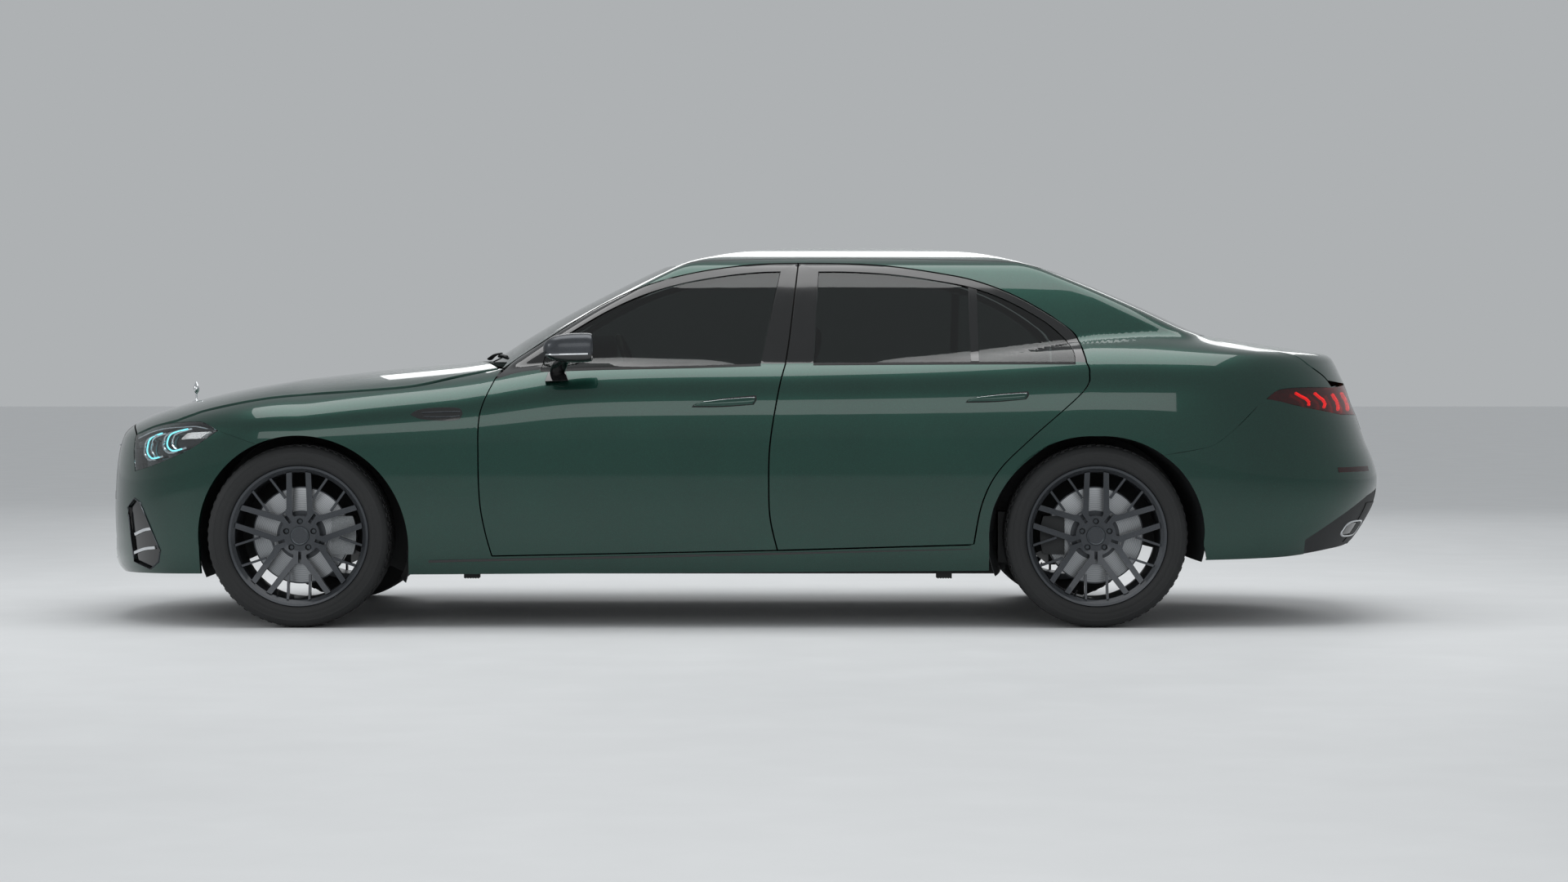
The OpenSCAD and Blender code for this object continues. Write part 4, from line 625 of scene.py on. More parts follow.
# Cast aluminium, graphite powder coat: satin with a fine orange peel
graphite = finish("aluminium_graphite_coated", "#4A4D51", "#313438", 3.2, (0.30, 0.42), 0.05,
                  **{"Metallic": 0.75, "Coat Weight": 0.25})
# Cast aluminium, sand cast and shot blasted: dull grey with a granular skin
cast = finish("aluminium_sand_cast", "#9A9D9F", "#6E7173", 2.6, (0.45, 0.62), 0.3, "cells", Metallic=0.9)
# Mild steel, electrocoated black: semi-gloss with dust
ecoat = finish("steel_electrocoated", "#2A2C2E", "#191B1C", 9, (0.38, 0.6), 0.12, Metallic=0.25)
# Mild steel sheet with sprayed underseal: rough, stippled
underseal = finish("steel_underseal", "#1D1F20", "#121314", 7, (0.7, 0.9), 0.9, "cells")
# Needle-punched carpet: fibrous, matt
carpet = finish("nylon_needle_punched", "#26282A", "#131415", 3.0, (0.85, 1.0), 0.8, **{"Sheen Weight": 0.3})
# Nappa leather, embossed and dyed: soft sheen and pebbled grain
nappa = finish("leather_nappa", "#4B3A2E", "#33261D", 2.6, (0.42, 0.58), 0.28, "cells",
               **{"Coat Weight": 0.08})
# Slush-moulded soft skin of the dashboard and door cards
soft_skin = finish("pvc_slush_moulded", "#2A2624", "#1B1817", 2.8, (0.5, 0.66), 0.22, "cells")
# Display glass over a black panel
display = finish("glass_display_black", "#10151C", "#07090C", 90, (0.06, 0.12), **{"Coat Weight": 1.0})
# Vulcanised tyre rubber: charcoal, dry sheen, fine mould texture
rubber = finish("rubber_vulcanised", "#232425", "#141516", 5, (0.62, 0.82), 0.15)
# Brake disc of turned grey iron, tread of the turning tool as rings
turned = {}
for corner, x, side in (("front_left", FRONT_X, -1), ("front_right", FRONT_X, 1),
                        ("rear_left", REAR_X, -1), ("rear_right", REAR_X, 1)):
    turned[corner] = finish("iron_turned_" + corner, "#A4A6A8", "#7C7F82", 3.0, (0.28, 0.42), 0.06, "rings",
                            centre=(x / 1000, 0, AXLE_Z / 1000), Metallic=1.0)
# Retroreflective and number-plate acrylic, blank
plate_white = finish("acrylic_plate_blank", "#DADCDC", "#C9CBCB", 1.8, (0.3, 0.4), 0.04, "cells")
# Float glass with vapour-deposited aluminium behind: mirror
mirror_glass = finish("glass_silvered", "#C6CCD0", "#B4BABF", 80, (0.02, 0.04), Metallic=1.0)


def glazing(name, colour, grain, rough=(0.0, 0.02), ior=1.5, **shader):
    """Clear or tinted glass whose gloss varies faintly over a grain."""
    m = finish(name, colour, colour, grain, rough, 0.0, **{"Transmission Weight": 1.0, "IOR": ior}, **shader)
    return m


# Laminated green-tinted windscreen glass
clear_glass = glazing("glass_laminated", "#9DA9A2", 120)
# Tempered privacy glass, through-dyed smoke
smoke_glass = glazing("glass_tempered_smoke", "#59615F", 120)
# Polycarbonate lamp cover, hard coated and clear
lamp_cover = glazing("polycarbonate_clear", "#E9EEF0", 90, ior=1.46)
# PMMA lens, moulded ruby red
red_lens = glazing("pmma_ruby", "#C4202A", 60, (0.02, 0.06), 1.49)


def glowing(name, colour, strength):
    """Light guide of frosted acrylic, lit from behind."""
    m = finish(name, colour, colour, 12, (0.3, 0.5), 0.05)
    body = next(n for n in m.node_tree.nodes if n.type == "BSDF_PRINCIPLED")
    body.inputs["Emission Color"].default_value = rgb(colour)
    body.inputs["Emission Strength"].default_value = strength
    return m


cyan_guide = glowing("acrylic_guide_cyan", "#7FE3EC", 1.4)
red_guide = glowing("acrylic_guide_red", "#FF4A30", 1.1)


# Doors

REAR_LEAN, FRONT_LEAN, LEAN_REACH = 45.0, 35.0, 220.0
REAR_DOOR_FRONT, REAR_UP = moved(DOOR_MIDDLE, SHUT_GAP), moved(MIDDLE_UP, SHUT_GAP)


def door_depth(z):
    return np.interp(z, [955, 1035], [DOOR_T, FRAME_T])


def lean_share(d):
    return np.clip(1 - d / LEAN_REACH, 0, 1) ** 2


def lean(x, z, edges):
    """How far a door's inner face leans away from its front and rear edges."""
    ahead = 0 if edges[0] is None else FRONT_LEAN * lean_share(x - smooth(edges[0][:, ::-1], z))
    return door_depth(z) / DOOR_T * (ahead - REAR_LEAN * lean_share(smooth(edges[1][:, ::-1], z) - x))


FRONT_EDGES = (None, joined(DOOR_MIDDLE, MIDDLE_UP))
REAR_EDGES = (joined(REAR_DOOR_FRONT, REAR_UP), np.concatenate([DOOR_REAR[:6], [[1351, 1040]]]))


def in_door(p, d, edges):
    """Places d below a door's outer face."""
    x, z = p[..., 0], p[..., 1]
    return np.stack([x + lean(x, z, edges) * d / door_depth(z), side_y(x, z) - d, z], -1)


def door_inner(p, edges):
    return in_door(p, door_depth(p[..., 1]), edges)


fw_low, fw_top = curve(FRONT_WIN_LOW, 14), curve(FRONT_WIN_TOP, 14)
fw_left = straight(FRONT_WIN_LOW[0], FRONT_WIN_TOP[0], 4)
fw_right = straight(FRONT_WIN_LOW[3], FRONT_WIN_TOP[7], 4)
rw_low, rw_top = curve(REAR_WIN_LOW, 14), curve(REAR_WIN_TOP, 14)
rw_left = straight(REAR_WIN_LOW[0], REAR_WIN_TOP[0], 4)
rw_right = curve([REAR_WIN_LOW[3], [1297, 1075], REAR_WIN_TOP[7]], 4)
front_corner_line = curve([DOOR_FRONT[5], [-880, 992], FRONT_WIN_LOW[0]], 2)
front_low = between(
    straight(DOOR_FRONT[0], DOOR_MIDDLE[0], 18),
    joined(front_corner_line, fw_low, straight(FRONT_WIN_LOW[3], DOOR_MIDDLE[5], 2)),
    curve(DOOR_FRONT, 12), curve(DOOR_MIDDLE, 12))
front_frame = between(
    joined(fw_left, fw_top, fw_right[::-1]),
    joined(curve(FRAME_FRONT, 18), curve(MIDDLE_UP, 4)[::-1]),
    front_corner_line[::-1], straight(FRONT_WIN_LOW[3], DOOR_MIDDLE[5], 2))
rear_low = between(
    straight(REAR_DOOR_FRONT[0], DOOR_REAR[0], 18),
    joined(straight(REAR_DOOR_FRONT[5], REAR_WIN_LOW[0], 2), rw_low,
           straight(REAR_WIN_LOW[3], DOOR_REAR[6], 2)),
    curve(REAR_DOOR_FRONT, 12), curve(DOOR_REAR, 12))
rear_frame = between(
    joined(rw_left, rw_top, rw_right[::-1]),
    joined(curve(REAR_UP, 4), curve(FRAME_REAR, 18)),
    straight(REAR_DOOR_FRONT[5], REAR_WIN_LOW[0], 2)[::-1], straight(REAR_WIN_LOW[3], DOOR_REAR[6], 2))


def door_form(low, frame_grid, edges):
    """A door: lacquered skin, gloss-black window frame, trimmed inner face."""
    form = Form()
    form.solid(on_side(low), door_inner(low, edges),
               scaled_walls(("bottom", 0, 18), ("right", 0, 12), ("top", 2, 16), ("left", 0, 12)), 0,
               inside=2)
    form.solid(on_side(frame_grid), door_inner(frame_grid, edges),
               scaled_walls(("bottom", 0, 22), ("top", 0, 22)), 1, inside=1)
    return form


door_finishes = (lacquer, piano_black, soft_skin)
put_pair("door_front_skin_{}", door_form(front_low, front_frame, FRONT_EDGES), "door_front_{}", door_finishes,
         "door_front_{}", bevel=1.6)
put_pair("door_rear_skin_{}", door_form(rear_low, rear_frame, REAR_EDGES), "door_rear_{}", door_finishes,
         "door_rear_{}", bevel=1.6)


def shrunk(grid, k):
    c = (grid[0, 0] + grid[0, -1] + grid[-1, 0] + grid[-1, -1]) / 4
    return c + (grid - c) * k


def glass_form(grid, edges):
    g = shrunk(grid, 0.9983)
    return Form().solid(in_door(g, GLASS_IN, edges), in_door(g, GLASS_IN + GLASS_T, edges))


front_glass = between(fw_low, fw_top, fw_left, fw_right)
rear_glass = between(rw_low, rw_top, rw_left, rw_right)
put_pair("window_front_{}", glass_form(front_glass, FRONT_EDGES), "door_front_{}", (smoke_glass,),
         "glass_front_{}")
put_pair("window_rear_{}", glass_form(rear_glass, REAR_EDGES), "door_rear_{}", (smoke_glass,),
         "glass_rear_{}")


def plate(quad, raised, sunk=-0.5, dome=0.0, nose=None):
    """A thin moulding over a four-edged patch of the side, raised above it and domed in its middle."""
    nv, nu = quad.shape[0], quad.shape[1]
    u = np.linspace(-1, 1, nu)[None, :]
    v = np.linspace(-1, 1, nv)[:, None]
    crown = raised + dome * (1 - u ** 6) * (1 - v ** 2)
    if nose is None:
        return Form().solid(on_side(quad, crown), on_side(quad, sunk))
    return Form().solid(end_in(quad[..., 0], quad[..., 1], -crown, nose),
                        end_in(quad[..., 0], quad[..., 1], -sunk, nose))


def band(line, width, n=3):
    """Grid over a band that runs along a line of places, as wide as given to its left."""
    other = beside(line, width)
    t = np.linspace(0, 1, n * FINE + 1)[:, None, None]
    return line[None] * (1 - t) + other[None] * t


# Seals along the belt, the division bar of the rear window, and flush handles
put_pair("belt_seal_front_{}", plate(band(fw_low, -9, 1), 1.4, -2), "door_front_{}", (seal,), bevel=0.8)
put_pair("belt_seal_rear_{}", plate(band(rw_low, -9, 1), 1.4, -2), "door_rear_{}", (seal,), bevel=0.8)
bar_low, bar_high = np.array([[893, 1036], [926, 1036]]), np.array([[893, 1330], [926, 1320]])
bar = between(straight(bar_low[0], bar_low[1], 2), straight(bar_high[0], bar_high[1], 2),
              straight(bar_low[0], bar_high[0], 8), straight(bar_low[1], bar_high[1], 8))
put_pair("division_bar_{}", Form().solid(on_side(bar, -3.0), on_side(bar, -12.0)), "door_rear_{}",
         (piano_black,), bevel=1)

HANDLES = {"front": [[-189, 862], [40, 870], [49, 898], [-150, 880]],
           "rear": [[874, 880], [1098, 890], [1106, 914], [912, 897]]}
for which, corners in HANDLES.items():
    a, b, c, d = (np.array(p, float) for p in corners)
    low = curve([a, a + (b - a) * 0.5 - [0, 3], b], 8)
    high = curve([d, d + (c - d) * 0.5 + [0, 2], c], 8)
    quad = between(low, high, curve([a, (a + d) / 2 - [10, 0], d], 2), curve([b, (b + c) / 2 + [6, 0], c], 2))
    recess_painted_shade = np.mean(quad, axis=(0, 1)) + (quad - np.mean(quad, axis=(0, 1))) * [1.05, 1.3]
    # Painted shade: a flat matt black plate, a little larger than each handle, stands for the shade in the
    # handle's recess.
    put_pair("handle_recess_" + which + "_{}", plate(recess_painted_shade, 0.5, -1), "door_%s_{}" % which, (seal,))
    put_pair("handle_" + which + "_{}", plate(quad, 3.0, 0.4, 3.5), "door_%s_{}" % which, (lacquer,),
             bevel=1.2)
    edge = band(high[::-1], 3.2, 1)
    put_pair("handle_edge_" + which + "_{}", plate(edge, 3.9, 2.0), "door_%s_{}" % which, (chrome,),
             bevel=0.5)

# Fenders

up = steps(0, 14, 14)
fender_top = curve(FENDER_TOP, 14)
fender_grid = between(
    weighted(front_arch(steps(FRONT_ARCH_CUT, FRONT_ARCH_END, 24)), 0),
    joined(weighted(fender_top, np.minimum(1, up / 2) * np.minimum(1, (14 - up) / 2)),
           weighted(curve(np.concatenate([moved(DOOR_FRONT, -SHUT_GAP), FENDER_TOP[7:8]]), 10)[::-1], 0)),
    weighted(joined(straight(front_arch(FRONT_ARCH_CUT), LAMP_TOP[5], 3),
                    curve(LAMP_TOP, 10)[4 * FINE:][::-1]), 0),
    weighted(straight(front_arch(FRONT_ARCH_END), DOOR_FRONT[0] - [SHUT_GAP, 0], 9), 0))
fender_in = side_inner(fender_grid, PANEL_T)
fender_in[..., 0] -= 14 * np.clip((fender_grid[..., 0] + 1100) / 80, 0, 1) ** 2
put_pair("fender_skin_{}", Form().solid(on_side(fender_grid), fender_in), "body", (lacquer,), "fender_{}",
         bevel=1.6)

# Vent behind the front wheel: a lens-shaped black inlay with two slim vanes
VENT = [[-1289, 829], [-1085, 835]]
vent_low = curve([VENT[0], [-1245, 812], [-1150, 806], [-1098, 812], VENT[1]], 10)
vent_high = curve([VENT[0], [-1262, 846], [-1200, 856], [-1104, 855], VENT[1]], 10)
vent = between(vent_low, vent_high, np.repeat(vent_low[:1], 2 * FINE + 1, 0),
               np.repeat(vent_low[-1:], 2 * FINE + 1, 0))
put_pair("fender_vent_{}", plate(vent, 0.9, -1), "body", (piano_black,), bevel=0.4)
for k, share in enumerate((0.34, 0.66)):
    line = (vent[int(share * 2 * FINE)])[3 * FINE:-2 * FINE]
    put_pair("fender_vane_%d_{}" % (k + 1), plate(band(line, 4, 1), 3.4, 0.4), "body", (dark_chrome,),
             bevel=1)

# Body side: sill, rear quarter, deck side and roof rail

side_corner = DOOR_REAR[6] + [SHUT_GAP, 0]
back_corner = edge_place(BACK_LOW)
quarter_arch = np.concatenate([np.linspace(REAR_ARCH_START, REAR_ARCH_MID, 12 * FINE + 1),
                               np.linspace(REAR_ARCH_MID, REAR_ARCH_CUT, 9 * FINE + 1)[1:]])
quarter_grid = between(
    weighted(rear_arch(quarter_arch), 0),
    weighted(joined(curve(np.concatenate([moved(DOOR_REAR, SHUT_GAP)[:6], [side_corner]]), 12),
                    straight(side_corner, TAIL_CUT[5], 9)), 0),
    weighted(straight(rear_arch(REAR_ARCH_START), DOOR_REAR[0] + [SHUT_GAP, 0], 5), 0),
    weighted(curve(TAIL_CUT, 5), 0))
rail_x = np.concatenate([np.linspace(SCREEN_LOW, SCREEN_TOP, 15), np.linspace(SCREEN_TOP, BACK_TOP, 15)[1:],
                         np.linspace(BACK_TOP, BACK_LOW, 9)[1:]])
FRAME_LINE = np.concatenate([FRAME_FRONT[1:9], FRAME_REAR[1:8]])
rail_low = np.concatenate([
    FENDER_TOP[7:8],
    beside(np.concatenate([np.stack([rail_x[:29], smooth(FRAME_LINE, rail_x[:29])], 1),
                           coarse([[1240, 1195], FRAME_REAR[7], FRAME_REAR[8], FRAME_REAR[9]], 6)]),
           SHUT_GAP)[1:],
    [side_corner]])
rail_top_x = on_curve(rail_x[:, None], np.linspace(0, 1, 36 * FINE + 1))[:, 0]
rail_top = edge_place(rail_top_x)
rail_grid = between(weighted(fine(rail_low), 0), weighted(rail_top, 1),
                    straight([*rail_low[0], 0], [*rail_top[0], 1], 4),
                    straight([*side_corner, 0], [*back_corner, 1], 4))
LID_SIDE = [[BACK_LOW, BACK_BASE_EDGE], [1900, 688], [2050, 704], [2160, 704], [2234, 700]]
LID_SPLIT, LID_TURN = 2160.0, 2197.0


def lid_weight(z):
    return np.clip((z - 985) / 45, 0, 1)


def lid_edge(x):
    return smooth(LID_SIDE, x)


deck_corner = coarse([[2234, float(top_z(2234.0, lid_edge(2234.0)))], LID_CORNER[1], LID_CORNER[2]], 6)
deck_x = np.append(np.linspace(BACK_LOW, LID_SPLIT, 10), LID_TURN)
deck_edge = np.concatenate([np.stack([deck_x, top_z(deck_x, lid_edge(deck_x))], 1), deck_corner])
deck_line = fine(deck_edge)
deck_line[0] = back_corner
deck_top = weighted(deck_line, lid_weight(deck_line[:, 1]))
deck_top[0, 2] = 1
deck_grid = between(
    weighted(joined(straight(side_corner, TAIL_CUT[5], 9), curve(TAIL_LAMP_TOP, 8)), 0), deck_top,
    straight([*side_corner, 0], [*back_corner, 1], 4),
    weighted(straight(TAIL_LAMP_TOP[3], LID_CORNER[2], 4), 0))
sill_top = joined(
    straight(front_arch(FRONT_ARCH_END), DOOR_FRONT[0] - [SHUT_GAP, 0], 3),
    straight(DOOR_FRONT[0] - [SHUT_GAP, 0], DOOR_FRONT[0] - [0, SHUT_GAP], 1),
    straight(DOOR_FRONT[0] - [0, SHUT_GAP], DOOR_MIDDLE[0] - [0, SHUT_GAP], 6),
    straight(DOOR_MIDDLE[0] - [0, SHUT_GAP], DOOR_MIDDLE[0] + [20, -SHUT_GAP], 1),
    straight(DOOR_MIDDLE[0] + [20, -SHUT_GAP], DOOR_REAR[0] - [0, SHUT_GAP], 5),
    straight(DOOR_REAR[0] - [0, SHUT_GAP], DOOR_REAR[0] + [SHUT_GAP, 0], 1),
    straight(DOOR_REAR[0] + [SHUT_GAP, 0], rear_arch(REAR_ARCH_START), 5))
sill_ends = [front_arch(FRONT_ARCH_END)[0], SILL_LOW], [rear_arch(REAR_ARCH_START)[0], SILL_LOW + 15]
sill_grid = between(straight(*sill_ends, 22), sill_top, straight(sill_ends[0], sill_top[0], 3),
                    straight(sill_ends[1], sill_top[-1], 3))
sill_in = np.stack([sill_grid[..., 0], np.full(sill_grid.shape[:2], SILL_IN), sill_grid[..., 1]], -1)


def wall_inner(p):
    return side_inner(p, 14 + 12 * np.clip((930 - p[..., 1]) / 60, 0, 1))


pillar_head_x = np.linspace(165, 261, 4 * FINE + 1)
pillar_head = np.stack([pillar_head_x, cabin_z(pillar_head_x, smooth(EDGE, pillar_head_x)) - 18], 1)
pillar_grid = between(straight([70, 295], [205, 297], 4), pillar_head,
                      straight([70, 295], pillar_head[0], 12),
                      straight([205, 297], pillar_head[-1], 12))


def pillar_at(depth):
    x, z = pillar_grid[..., 0], pillar_grid[..., 1]
    return np.stack([x, side_y(x, z) - door_depth(z) - 7 - depth, z], -1)


quarter = Form()
quarter.solid(on_side(quarter_grid), wall_inner(quarter_grid),
              scaled_walls(("bottom", 0, 21), ("top", 0, 12), ("right", 0, 5), ("left", 0, 5)), 0, inside=1)
quarter.solid(on_side(deck_grid), wall_inner(deck_grid),
              scaled_walls(("bottom", 9, 17), ("right", 0, 4), ("top", 0, 17)), 0, inside=1)
quarter.solid(on_side(rail_grid), wall_inner(rail_grid),
              scaled_walls(("bottom", 0, 36), ("top", 0, 36), ("left", 0, 4)), 0, inside=1)
put_pair("body_side_skin_{}", quarter, "body", (lacquer, ecoat), "body_side_{}", bevel=1.6)
put_pair("sill_skin_{}", Form().solid(on_side(sill_grid), sill_in), "body", (lacquer,), bevel=2.0)
put_pair("centre_pillar_{}", Form().solid(pillar_at(0), pillar_at(50)), "body", (soft_skin,), bevel=4)
# Painted shadow: a gloss-black strip on the sill just below the doors stands for the shade in the gap between
# doors and sill. It is taller at the front and thinner at the rear.
shadow_gap_x = np.linspace(-1221, 893, 30 * FINE + 1)
shadow_gap_z = np.interp(shadow_gap_x, [-1221, 144, 893], [252, 284, 304])
shadow_gap_h = np.interp(shadow_gap_x, [-1221, 144, 893], [10, 8, 3])
strip = np.stack([np.stack([shadow_gap_x, shadow_gap_z + shadow_gap_h * k], 1) for k in (0, 0.5, 1)])
put_pair("sill_painted_shadow_gap_{}", plate(strip, 1.5, -1.5), "body", (piano_black,), bevel=0.6)


def pad_form():
    """Ribbed rubber jacking pads below the sill."""
    form = Form()
    for x in (-1060, 790):
        xs = np.linspace(x - 30, x + 30, 25)
        ribs = 186 + 2.0 * (np.arange(25) % 4 < 2)
        ys = np.array([790.0, 850.0])
        low = np.stack([np.stack([xs, np.full(25, y), ribs], 1) for y in ys])
        high = np.stack([np.stack([xs, np.full(25, y), np.full(25, 236.0)], 1) for y in ys])
        form.solid(low, high)
    return form


put_pair("jack_pads_{}", pad_form(), "body", (seal,))

# Roof, glass and cowl


def cabin_top(p, drop=0.0):
    return np.stack([p[..., 0], p[..., 1], cabin_z(p[..., 0], p[..., 1]) - drop], -1)


def across(y, n, f):
    q = steps(-y, y, n)
    return np.stack([f(q), q], 1)


def edge_line(x0, x1, n, s, gap):
    x = steps(x0, x1, n)
    return np.stack([x, s * (smooth(EDGE, x) - gap)], 1)


def cross_grid(x0, x1, n, y0, y1, f0, f1):
    return between(edge_line(x0, x1, n, -1, PANEL_GAP), edge_line(x0, x1, n, 1, PANEL_GAP),
                   across(y0 - PANEL_GAP, 16, f0), across(y1 - PANEL_GAP, 16, f1))


screen_grid = cross_grid(SCREEN_LOW, SCREEN_TOP - PANEL_GAP, 14, BASE_EDGE, SCREEN_EDGE, base_x,
                         lambda y: header_x(y) - PANEL_GAP)
roof_grid = cross_grid(SCREEN_TOP, BACK_TOP, 14, SCREEN_EDGE, BACK_EDGE, header_x, roof_end)
back_grid = cross_grid(BACK_TOP + PANEL_GAP, BACK_LOW, 8, BACK_EDGE, BACK_BASE_EDGE,
                       lambda y: roof_end(y) + PANEL_GAP, back_low)
roof_depth = 30 - 16 * np.minimum(1, np.abs(roof_grid[..., 1]) / (smooth(EDGE, roof_grid[..., 0]) - 20)) ** 6
put("roof_skin", Form().solid(cabin_top(roof_grid), cabin_top(roof_grid, roof_depth), inside=1), "body",
    (lacquer, soft_skin), "roof_panel", bevel=1.2)
put("windscreen_pane", Form().solid(cabin_top(screen_grid), cabin_top(screen_grid, GLASS_T)), "body",
    (clear_glass,), "windscreen")
put("rear_pane", Form().solid(cabin_top(back_grid), cabin_top(back_grid, GLASS_T)), "body", (smoke_glass,),
    "rear_window")


def border(grid, wide):
    """Black ceramic border on the inner face of a pane, as a frame of its outer rows and columns."""
    form = Form()
    n, m = wide * FINE, grid.shape[0] - 1
    parts = (grid[:n + 1], grid[m - n:], grid[n:m - n + 1, :n + 1], grid[n:m - n + 1, grid.shape[1] - 1 - n:])
    for p in parts:
        form.solid(cabin_top(p, GLASS_T + 0.2), cabin_top(p, GLASS_T + 0.9))
    return form


put("windscreen_border", border(screen_grid, 1), "body", (piano_black,))
put("rear_pane_border", border(back_grid, 1), "body", (piano_black,))
ditch_x = np.linspace(SCREEN_TOP + 20, BACK_TOP - 20, 24 * FINE + 1)
ditch = np.stack([np.stack([ditch_x, smooth(EDGE, ditch_x) + k], 1) for k in (-5.0, -2.0, 1.0, 4.0)])
put_pair("roof_moulding_{}", Form().solid(cabin_top(ditch, -0.7), cabin_top(ditch, 3)), "body",
         (piano_black,), bevel=0.5)

bonnet_side = coarse(BONNET_SIDE, 18)
bonnet_side = fine(np.stack([bonnet_side[:, 0], side_y(bonnet_side[:, 0], bonnet_side[:, 1]) - SHUT_GAP], 1))
BONNET_FRONT_EDGE, BONNET_REAR_EDGE = bonnet_side[0, 1], bonnet_side[-1, 1]


def bonnet_front(y):
    return -2478 + (bonnet_side[0, 0] + 2478) * np.abs(y / BONNET_FRONT_EDGE) ** 2.6


def bonnet_rear(y):
    return -1102 + (bonnet_side[-1, 0] + 1102) * np.abs(y / BONNET_REAR_EDGE) ** 2


def body_top(p, drop=0.0):
    return np.stack([p[..., 0], p[..., 1], top_z(p[..., 0], p[..., 1]) - drop], -1)


bonnet_grid = between(bonnet_side * [1, -1], bonnet_side, across(BONNET_FRONT_EDGE, 16, bonnet_front),
                      across(BONNET_REAR_EDGE, 16, bonnet_rear))
put("bonnet_skin", Form().solid(body_top(bonnet_grid), body_top(bonnet_grid, 24.0), inside=1), "bonnet",
    (lacquer, ecoat), "bonnet", bevel=1.6)

cowl_n = across(BASE_EDGE, 16, lambda y: bonnet_rear(y) + SHUT_GAP), across(BASE_EDGE, 16, base_x)
cowl_t = np.linspace(0, 1, 4 * FINE + 1)[:, None, None]
cowl_grid = cowl_n[0][None] * (1 - cowl_t) + cowl_n[1][None] * cowl_t
cowl_slots = 2.0 * (np.arange(cowl_grid.shape[1]) % 4 < 2)[None, :]
cowl_base = np.stack([cowl_grid[..., 0], cowl_grid[..., 1], np.full(cowl_grid.shape[:2], 900.3)], -1)
put("cowl_tray", Form().solid(body_top(cowl_grid, 45.0 + cowl_slots), cowl_base), "body", (grained,), "cowl")

# Boot lid

lid_front_y = float(lid_edge(BACK_LOW + 8) - SHUT_GAP)


def lid_front(y):
    return back_low(y) + 8


lid_x = BACK_LOW + (LID_SPLIT - BACK_LOW) * np.arange(1, 8) / 7
lid_x0 = lid_front(lid_front_y)
lid_side = np.concatenate([[[lid_x0, lid_edge(lid_x0) - SHUT_GAP]],
                           np.stack([lid_x, lid_edge(lid_x) - SHUT_GAP], 1)])
half = steps(0, 1, 8)
lid_deck = between(
    straight([lid_front(0), 0], [LID_SPLIT, 0], 7), fine(lid_side),
    np.stack([lid_front(lid_side[0, 1] * half), lid_side[0, 1] * half], 1),
    np.stack([np.full(len(half), LID_SPLIT), lid_side[7, 1] * half], 1))
lid_corner = beside(np.concatenate([[[LID_TURN, float(top_z(LID_TURN, lid_edge(LID_TURN)))]], deck_corner]),
                    SHUT_GAP)
lid_start = []
for x in (LID_SPLIT, LID_TURN):
    y = lid_edge(x) - SHUT_GAP
    z = float(top_z(x, y))
    lid_start.append([float(tail_turn_y(y, z)), z])
lid_turns = np.concatenate([lid_start, on_tail(lid_corner[1:])])
ROWS = len(lid_turns) - 1
LID_MIDDLE = [[0, 945], [3, 1012], [5, 1045], [6, 1064], [7, 1086], [ROWS, float(top_z(LID_SPLIT, 0.0))]]
lid_end = lid_turns[-1]
lid_step = np.stack([lid_end[0] * half, 945 + (lid_end[1] - 945) * half ** 3], 1)
lid_top_y = lid_side[7, 1] * half
lid_top_z = top_z(np.full(len(half), LID_SPLIT), lid_top_y)
rows = steps(0, ROWS, ROWS)
lid_rear = between(lid_step, np.stack([tail_turn_y(lid_top_y, lid_top_z), lid_top_z], 1),
                   np.stack([0 * rows, smooth(LID_MIDDLE, rows)], 1), fine(lid_turns[::-1]))
low_rows = steps(0, 1, 4)
lid_low_z = 760 + (lid_step[4 * FINE, 1] - 760) * low_rows
low_right = np.stack([tail_turn_y(420, lid_low_z), lid_low_z], 1)
low_right[-1] = lid_step[4 * FINE]
low_y = steps(0, 420, 4)
lid_low = between(np.stack([tail_turn_y(low_y, 760), 0 * low_y + 760], 1), lid_step[:4 * FINE + 1],
                  straight([0, 760], lid_step[0], 4), low_right)


def lid_tail(grid):
    w = lid_weight(grid[..., 1])
    return end_place(grid[..., 0], grid[..., 1], False), end_inner(np.dstack([grid, w]), 24.0, False)


lid = Form()
lid.solid(*lid_tail(lid_low), scaled_walls(("bottom", 0, 4), ("right", 0, 4)), 0, inside=1)
lid.solid(*lid_tail(lid_rear), scaled_walls(("bottom", 4, 8), ("right", 0, ROWS)), 0, inside=1)
lid.solid(body_top(lid_deck), body_top(lid_deck, 24.0), scaled_walls(("left", 0, 8), ("top", 0, 7)), 0,
          inside=1)
put("boot_lid_skin", lid.both(), "boot_lid", (lacquer, ecoat), "boot_lid", bevel=1.6)

# Nose: bumper, grille and headlamps

GRILLE_HALF, GRILLE_LOW, NOSE_LOW = 430.0, 480.0, 190.0


def grille_turn(z):
    return nose_turn_y(GRILLE_HALF, z)


def turn_of(pts):
    return on_nose(np.asarray(pts, float))


